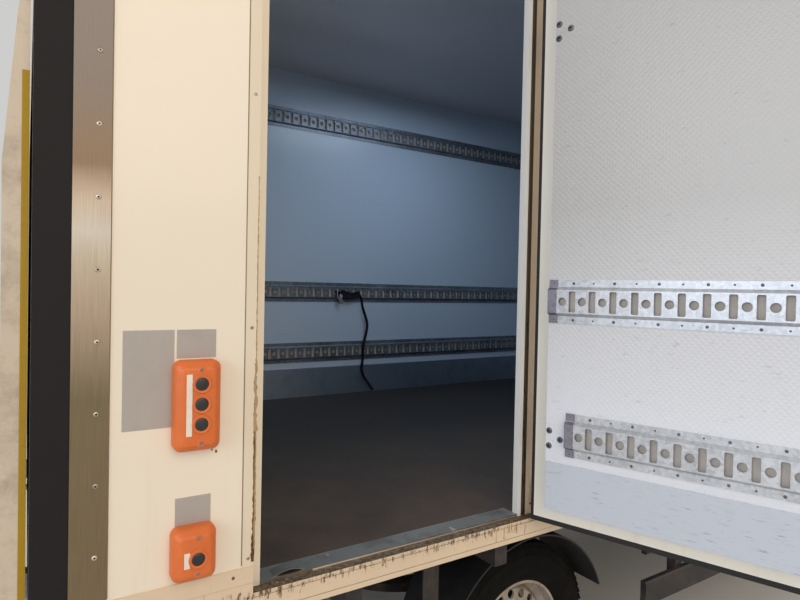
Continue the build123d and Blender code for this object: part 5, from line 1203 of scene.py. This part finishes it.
def edge_band(node, facing, width, lift, thick, material):
    """A band along the border of a pane's outer face, a little proud of it."""
    build = bmesh.new()
    build.from_mesh(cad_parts[node].data)
    bmesh.ops.remove_doubles(build, verts=build.verts, dist=0.01 * MM)
    away = [face for face in build.faces if face.normal.dot(facing) < 0.93]
    bmesh.ops.delete(build, geom=away, context="FACES")
    bmesh.ops.dissolve_limit(build, angle_limit=math.radians(1), verts=build.verts, edges=build.edges)
    ring = bmesh.ops.inset_region(build, faces=build.faces[:], thickness=width, use_boundary=True,
                                  use_even_offset=True)["faces"]
    inner = [face for face in build.faces if face not in set(ring)]
    bmesh.ops.delete(build, geom=inner, context="FACES")
    bmesh.ops.solidify(build, geom=build.faces[:], thickness=thick)
    bmesh.ops.translate(build, vec=facing * lift, verts=build.verts)
    bmesh.ops.recalc_face_normals(build, faces=build.faces)
    mesh = bpy.data.meshes.new("edge_band")
    build.to_mesh(mesh)
    build.free()
    mesh.materials.append(material)
    return mesh


# The windscreen's foot, the way up it and the way off it, and how far it leans from upright in degrees
SCREEN_FOOT = Vector((2.470, 0.0, 1.440))
UP_SCREEN = Vector((-0.7245, 0.0, 0.6893))
OFF_SCREEN = Vector((0.6893, 0.0, 0.7245))
SCREEN_TURN = Matrix.Rotation(math.radians(90 - 43.6), 4, "Y") @ Matrix.Rotation(math.radians(-90), 4, "Z")
# Each wiper's blade between two places across, and its pivot, in metres
WIPERS = ((-0.72, -0.09, -0.36), (-0.02, 0.60, 0.31))


def on_screen(along, y, lift_mm):
    """A place on the windscreen: the way up it from its foot, across, and off its face."""
    return SCREEN_FOOT + Vector((0.0, y, 0.0)) + UP_SCREEN * along + OFF_SCREEN * (lift_mm * MM)


def make_glass_edges():
    """The band round the windscreen and the rubber seals round the door glasses."""
    band = edge_band("windscreen", OFF_SCREEN.normalized(), 0.035, 1.2 * MM, 1.0 * MM, FRIT)
    finish_piece("windscreen_frit", band, "truck")
    for side, sign in (("left", 1.0), ("right", -1.0)):
        facing = Vector((0.0, 0.985 * sign, 0.174)).normalized()
        band = edge_band("door_glass_" + side, facing, 0.016, 1.6 * MM, 1.5 * MM, RUBBER)
        finish_piece("door_glass_seal_" + side, band, "cab_door_" + side)


def make_wipers():
    """Two wipers: a rubber blade, its bow, and an arm on a round boss."""
    boss_profile = [(0.0, 0.012), (0.014, 0.010), (0.018, 0.0), (0.018, -0.024), (0.0, -0.024)]
    parts = []
    for y0, y1, pivot in WIPERS:
        middle = (y0 + y1) / 2
        blade = [on_screen(0.150, y0, 11), on_screen(0.168, middle, 9), on_screen(0.186, y1, 11)]
        bow = [on_screen(0.153, y0 + 0.08, 17), on_screen(0.168, middle, 24), on_screen(0.183, y1 - 0.08, 17)]
        arm = [on_screen(0.010, pivot - 0.02, 16), on_screen(0.060, pivot - 0.08, 26),
               on_screen(0.130, middle + 0.05, 28), on_screen(0.168, middle, 27)]
        parts += [tube(blade, 5 * MM, RUBBER, 6, 8), tube(bow, 4 * MM, BLACK_PLASTIC, 6, 8),
                  tube(arm, 6 * MM, BLACK_PLASTIC, 6, 8),
                  lathe(boss_profile, 18, BLACK_PLASTIC, on_screen(0.010, pivot - 0.02, 14), SCREEN_TURN)]
    finish_piece("windscreen_wipers", joined("wipers", parts), "truck", smooth=40)


def make_mirror_glasses():
    """The glass of each outside mirror, facing back."""
    for side, sign in (("left", 1.0), ("right", -1.0)):
        low, high = sorted((sign * 1.084, sign * 1.201))
        plate = slab((1.6632, low, 1.506), (1.6665, high, 1.754), 0.8 * MM, 2, MIRROR)
        finish_piece("mirror_glass_" + side, plate, "cab_door_" + side, smooth=30)


# Headlamp insides in metres: profiles of a bowl and its bulb as (radius, depth), and each lamp's place with
# its share of that size. Signals and lenses are blocks between two places across.
BOWL = ((0.0, -0.043), (0.030, -0.040), (0.055, -0.019), (0.071, 0.010), (0.075, 0.010), (0.060, -0.024),
        (0.032, -0.047), (0.0, -0.050))
BULB = ((0.0, 0.006), (0.007, 0.003), (0.009, -0.006), (0.009, -0.038), (0.0, -0.040))
HEADLAMPS = ((3.035, 0.655, 0.955, 1.0), (2.975, 0.800, 0.960, 0.72))
FRONT_SIGNAL = (0.868, 0.896)
REAR_LENSES = ((0.972, 1.064, AMBER), (0.868, 0.958, LAMP_CLEAR))


def make_lamp_insides():
    """Bowls, bulbs and signals behind the headlamp covers, and lenses on the rear lamps."""
    forwards = Matrix.Rotation(math.radians(-90), 4, "Z")
    parts = []
    lenses = []
    for sign in (-1.0, 1.0):
        for x, y, z, share in HEADLAMPS:
            for profile, finish in ((BOWL, REFLECTOR), (BULB, LAMP_CLEAR)):
                rings = [(r * share, h * share) for r, h in profile]
                parts.append(lathe(rings, 28, finish, (x, sign * y, z), forwards))
        low, high = sorted(sign * y for y in FRONT_SIGNAL)
        parts.append(slab((2.885, low, 0.900), (2.935, high, 1.062), 3 * MM, 2, AMBER))
        for y0, y1, finish in REAR_LENSES:
            low, high = sorted((sign * y0, sign * y1))
            lenses.append(slab((-3.6312, low, 0.712), (-3.6285, high, 0.788), 1 * MM, 2, finish))
    finish_piece("headlamp_insides", joined("headlamp_insides", parts), "truck", smooth=40)
    finish_piece("rear_lamp_lenses", joined("rear_lamp_lenses", lenses), "truck", smooth=30)


def pad(size, turn, place, dip, seams, material):
    """A stuffed pad: a box drawn in towards its edges, sunk a little along its stitched seams."""
    mesh = bpy.data.meshes.new("pad")
    build = bmesh.new()
    bmesh.ops.create_cube(build, size=2.0)
    bmesh.ops.subdivide_edges(build, edges=build.edges[:], cuts=25, use_grid_fill=True)
    for vert in build.verts:
        u, v, w = vert.co
        pull = (abs(u) ** 6 + abs(v) ** 6 + abs(w) ** 6) ** (1 / 6)
        sunk = sum(math.exp(-((v - seam) / 0.035) ** 2) for seam in seams)
        crown = 1.0 + 0.05 * (1 - u * u) * (1 - v * v)
        vert.co = Vector((u / pull * size[0] / 2, v / pull * size[1] / 2,
                          w / pull * (size[2] / 2 * crown - dip * sunk * (1 - 0.4 * u * u))))
    build.to_mesh(mesh)
    build.free()
    mesh.transform(Matrix.Translation(place) @ turn)
    mesh.materials.append(material)
    return mesh


# Seats in metres: name, sides, the seams' shares of the width, and each headrest's name with its place across
SEATS = (
    ("driver", 0.230, 0.700, (-0.62, 0.62), (("driver_headrest", 0.465),)),
    ("bench", -0.760, 0.090, (-0.78, 0.0, 0.78),
     (("bench_headrest_outer", -0.540), ("bench_headrest", -0.130))),
)
SEAT_THICK = 0.135
SEAM_DIP = 7 * MM


def make_seats():
    """The driver's seat and the double passenger bench: padded cushions on rigid plinths."""
    lean = Matrix.Rotation(math.radians(-12), 4, "Y") @ Matrix.Rotation(math.radians(90), 4, "Y")
    stands = []

    def padded(name, size, turn, place, dip, seams):
        """One stuffed piece."""
        piece = finish_piece(name, pad(size, turn, place, dip, seams, SEAT_CLOTH), "truck", smooth=60,
                             nodes=("seats",))

    for name, y0, y1, seams, rests in SEATS:
        middle, width = (y0 + y1) / 2, (y1 - y0) * 1.01
        padded(name + "_cushion", (0.490, width, SEAT_THICK), Matrix.Identity(4), (1.290, middle, 1.120),
               SEAM_DIP, seams)
        padded(name + "_backrest", (0.650, width, SEAT_THICK), lean, (1.060, middle, 1.450), SEAM_DIP, seams)
        for rest, y in rests:
            padded(rest, (0.195, 0.265, 0.100), lean, (0.985, y, 1.840), 0.0, ())
            for aside in (-0.05, 0.05):
                bar = [(1.002, y + aside, 1.690), (0.993, y + aside, 1.735), (0.985, y + aside, 1.790)]
                stands.append(tube(bar, 6 * MM, ZINC, 4, 10))
        stands.append(slab((1.090, y0 + 0.060, 0.780), (1.480, y1 - 0.060, 1.070), 12 * MM, 3, SEAT_SIDE))
        for y in (y0 + 0.012, y1 - 0.012):
            stands.append(slab((1.065, y - 0.010, 1.035), (1.470, y + 0.010, 1.085), 6 * MM, 2, SEAT_SIDE))
    finish_piece("seat_stands", joined("seat_stands", stands), "truck", smooth=40, nodes=("seats",))
make_glass_edges()
make_wipers()
make_mirror_glasses()
make_lamp_insides()
make_seats()


# Tyres with a road tread

TREAD_LUGS = 72


def lug_ring_tree(material):
    """Shoulder lugs round both sides of a tyre: one slanted block turned about Y in even steps."""
    tree, size = start_geometry("lug_ring", (
        ("Count", "Int"), ("Radius", "Float"), ("Offset", "Float"), ("Lug Size", "Vector"),
        ("Slant", "Float")))
    block = add(tree, "GeometryNodeMeshCube", {0: size["Lug Size"]})
    tilt = add(tree, "ShaderNodeCombineXYZ", {2: size["Slant"]})
    place = add(tree, "ShaderNodeCombineXYZ", {1: size["Offset"], 2: size["Radius"]})
    lug = add(tree, "GeometryNodeTransform", {0: block, "Translation": place,
                                               "Rotation": tilt})
    line = add(tree, "GeometryNodeMeshLine", {"Count": size["Count"], "Offset": (0.0, 0.0, 0.0)},
               mode="OFFSET")
    number = add(tree, "GeometryNodeInputIndex")
    step = add(tree, "ShaderNodeMath", {0: math.tau, 1: size["Count"]}, operation="DIVIDE")
    angle = add(tree, "ShaderNodeMath", {0: number, 1: step}, operation="MULTIPLY")
    turn = add(tree, "ShaderNodeCombineXYZ", {1: angle})
    ring = add(tree, "GeometryNodeInstanceOnPoints", {"Points": line, "Instance": lug,
                                                       "Rotation": turn})
    return end_geometry(tree, ring, material)


# A tyre's section in metres, as (radius, half width): outside from the bead to the tread's middle, and inside
TYRE_OUTSIDE = (
    (0.2034, 0.0830), (0.2080, 0.0890), (0.2200, 0.0935), (0.2215, 0.0955), (0.2260, 0.0960),
    (0.2500, 0.1005), (0.2760, 0.1022), (0.2990, 0.1015), (0.3005, 0.1024), (0.3035, 0.1024),
    (0.3050, 0.1010), (0.3220, 0.0965), (0.3310, 0.0930), (0.3380, 0.0880), (0.3420, 0.0800),
    (0.3425, 0.0660), (0.3470, 0.0650), (0.3480, 0.0500), (0.3470, 0.0490), (0.3410, 0.0480),
    (0.3410, 0.0410), (0.3475, 0.0400), (0.3495, 0.0200), (0.3480, 0.0130), (0.3415, 0.0120),
    (0.3415, 0.0050), (0.3485, 0.0040))
TYRE_INSIDE = ((0.3300, 0.0600), (0.3200, 0.0820), (0.2800, 0.0880), (0.2300, 0.0840), (0.2100, 0.0780))
TYRES = (("front_left", FRONT_AXLE, 0.855), ("front_right", FRONT_AXLE, -0.855),
         ("rear_left", REAR_AXLE, 0.825), ("rear_right", REAR_AXLE, -0.825))


def make_tyres():
    """The four tyres, turned in one piece with ribs, with lugs on both shoulders."""
    half, inside = list(TYRE_OUTSIDE), list(TYRE_INSIDE)
    outline = half + [(r, -y) for r, y in half[::-1] + inside[::-1]] + inside + [half[0]]
    lugs = lug_ring_tree(TYRE)
    for corner, x, y in TYRES:
        parts = [lathe(outline, 120, TYRE)]
        for side in (-1, 1):
            parts.append(grow(lugs, {"Count": TREAD_LUGS, "Radius": 0.3440, "Offset": side * 0.0765,
                                     "Lug Size": (0.0215, 0.0260, 0.0090), "Slant": side * 0.30}))
        tyre = joined("tyre", parts)
        tyre.transform(Matrix.Translation((x, y, TYRE_RADIUS)))
        finish_piece("treaded_tyre_" + corner, tyre, "wheel_" + corner, smooth=35, nodes=("tyre_" + corner,))


make_tyres()


# Rows of rivets in metres: rear end, front end, height, pitch
RIVET_ROWS = ((-3.540, 0.680, 3.078, 0.120), (-3.540, 0.640, 0.962, 0.240))


def make_trim_rivets():
    """Dome rivets along the roof trims and the lower rails."""
    rows = []
    for side in (-1, 1):
        for x0, x1, z, pitch in RIVET_ROWS:
            place = (x0, side * (BOX_HALF + 3 * MM), z)
            rows.append(grow(DOMES, {"Count": int((x1 - x0) / pitch) + 1, "Start": place,
                                     "Step": (pitch, 0, 0), "Head Radius": 4.0 * MM,
                                     "Head Height": 1.8 * MM}))
    finish_piece("trim_rivets", joined("trim_rivets", rows), "truck", smooth=60)


make_trim_rivets()


# Yellow tape on the platform's edge

# Platform's edges: cast aluminium with a dimpled skin, brownish with old wear.
PLATFORM_EDGE = moulded("aluminium_dimpled_edge", "#C9BCAB", "#7F7161", 0.5, 7.0, 0.9, 0.7)


def side_facing(centre, normal):
    """The platform's faces that look to the truck's sides."""
    return abs(normal.y) > 0.7


dressed("lift_platform", "lift_platform", ((side_facing, PLATFORM_EDGE), (everywhere, DECK)))
# Reflective tape: bright yellow with a fine quilted grain, scuffed dark in places.
TAPE = lining("reflective_tape_yellow", "#A08000", "#5A4A10", 45.0, 0.62, 0.0, 0.5, 30.0, 0.3, 0.58, 0.9)


def make_platform_tape():
    """A strip of tape up both side edges of the stowed platform."""
    low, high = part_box("lift_platform")
    tapes = []
    for side, outside in ((low.y, -1), (high.y, 1)):
        y0, y1 = sorted((side - outside * 0.2 * MM, side + outside * 0.9 * MM))
        tapes.append(slab((-3.7203, y0, 0.90), (-3.7076, y1, 2.06), 0.2 * MM, 1, TAPE))
    finish_piece("platform_edge_tape", joined("platform_tape", tapes), "lift_platform")


make_platform_tape()


# Camera, light and floor

# The camera as fitted to the photo: lens in mm, place in metres, and its axes.
LENS = 26.1
CAMERA_PLACE = (-3.710, -2.470, 1.640)
CAMERA_RIGHT = (0.8405, -0.5413, 0.0209)
CAMERA_DOWN = (0.0084, -0.0255, -0.9996)
CAMERA_AHEAD = (0.5417, 0.8404, -0.0169)


def make_camera():
    """The photo's view."""
    camera = bpy.data.objects.new("camera", bpy.data.cameras.new("camera"))
    camera.data.lens = LENS
    camera.data.sensor_width = 36.0
    camera.data.clip_start = 0.02
    camera.data.clip_end = 60.0
    axes = Matrix((CAMERA_RIGHT, -Vector(CAMERA_DOWN), -Vector(CAMERA_AHEAD))).transposed()
    camera.matrix_world = Matrix.Translation(CAMERA_PLACE) @ axes.to_4x4()
    bpy.context.scene.collection.objects.link(camera)
    bpy.context.scene.camera = camera


def shown_directly(tree):
    """Tells rays that come from the camera, or by way of a mirror or a pane, from those that only light."""
    path = add(tree, "ShaderNodeLightPath")
    mirrored = add(tree, "ShaderNodeMath", {0: path.outputs["Is Glossy Ray"],
                                             1: path.outputs["Is Transmission Ray"]}, operation="MAXIMUM")
    return add(tree, "ShaderNodeMath", {0: mirrored, 1: path.outputs["Is Camera Ray"]}, operation="MAXIMUM")


def make_lights():
    """Soft boxes round the truck, one small one in the load space, and an even pale sky."""
    lamps = (
        # name, place, looks at, size, watts, colour
        ("right_softbox", (-3.0, -10.0, 6.5), (-2.0, -1.0, 1.5), 7.0, 370.0, "#FFEBD2"),
        ("left_softbox", (0.5, 10.0, 7.0), (0.0, 0.0, 1.2), 7.0, 280.0, "#FFFFFF"),
        ("front_softbox", (11.0, -2.0, 6.5), (1.5, 0.0, 1.2), 7.0, 260.0, "#FFFFFF"),
        ("rear_softbox", (-11.0, -4.0, 3.6), (-2.6, -1.2, 1.5), 5.0, 260.0, "#EAF1FF"),
        ("load_space_lamp", (-1.6, 0.0, 2.98), (-1.6, 0.0, 0.0), 0.9, 14.0, "#D3E4F7"),
    )
    for name, place, target, size, watts, colour in lamps:
        lamp = bpy.data.lights.new(name, "AREA")
        lamp.shape = "SQUARE"
        lamp.size = size
        lamp.energy = watts
        lamp.color = linear(colour)[:3]
        holder = bpy.data.objects.new(name, lamp)
        holder.location = place
        holder.rotation_mode = "QUATERNION"
        holder.rotation_quaternion = (Vector(target) - Vector(place)).to_track_quat("-Z", "Y")
        holder.visible_camera = False
        bpy.context.scene.collection.objects.link(holder)
    world = bpy.data.worlds.new("studio")
    bpy.context.scene.world = world
    bpy.context.scene.view_settings.view_transform = "Standard"
    world.use_nodes = True
    tree = world.node_tree
    tree.nodes.clear()
    even = add(tree, "ShaderNodeBackground", {0: linear("#F2EEE8"), 1: 0.66})
    seen = add(tree, "ShaderNodeBackground", {0: linear("#EDEDEB"), 1: 0.72})
    mix = add(tree, "ShaderNodeMixShader", {0: shown_directly(tree), 1: even, 2: seen})
    add(tree, "ShaderNodeOutputWorld", {0: mix})


def make_floor():
    """A plain pale studio floor that fades into the background away from the truck."""
    mesh = bpy.data.meshes.new("studio_floor")
    reach = 40.0
    corners = [(-reach, -reach, 0), (reach, -reach, 0), (reach, reach, 0), (-reach, reach, 0)]
    mesh.from_pydata(corners, [], [(0, 1, 2, 3)])
    floor = bpy.data.objects.new("studio_floor", mesh)
    bpy.context.scene.collection.objects.link(floor)
    # Matt pale grey paint near the truck, and the background's own even colour far from it.
    material, tree, place = start_material("studio_floor_paint")
    paint = add(tree, "ShaderNodeBsdfPrincipled", {"Base Color": linear("#D2D0CC"), "Roughness": 0.8})
    away = add(tree, "ShaderNodeVectorMath", {0: place}, operation="LENGTH")
    far = add(tree, "ShaderNodeMapRange", {0: away, 1: 4.5, 2: 13.0}, interpolation_type="SMOOTHSTEP")
    share = add(tree, "ShaderNodeMath", {0: far, 1: shown_directly(tree)}, operation="MULTIPLY")
    even = add(tree, "ShaderNodeEmission", {0: linear("#EDEDEB"), 1: 0.72})
    blend = add(tree, "ShaderNodeMixShader", {0: share, 1: paint, 2: even})
    add(tree, "ShaderNodeOutputMaterial", {"Surface": blend})
    mesh.materials.append(material)


make_camera()
make_lights()
make_floor()
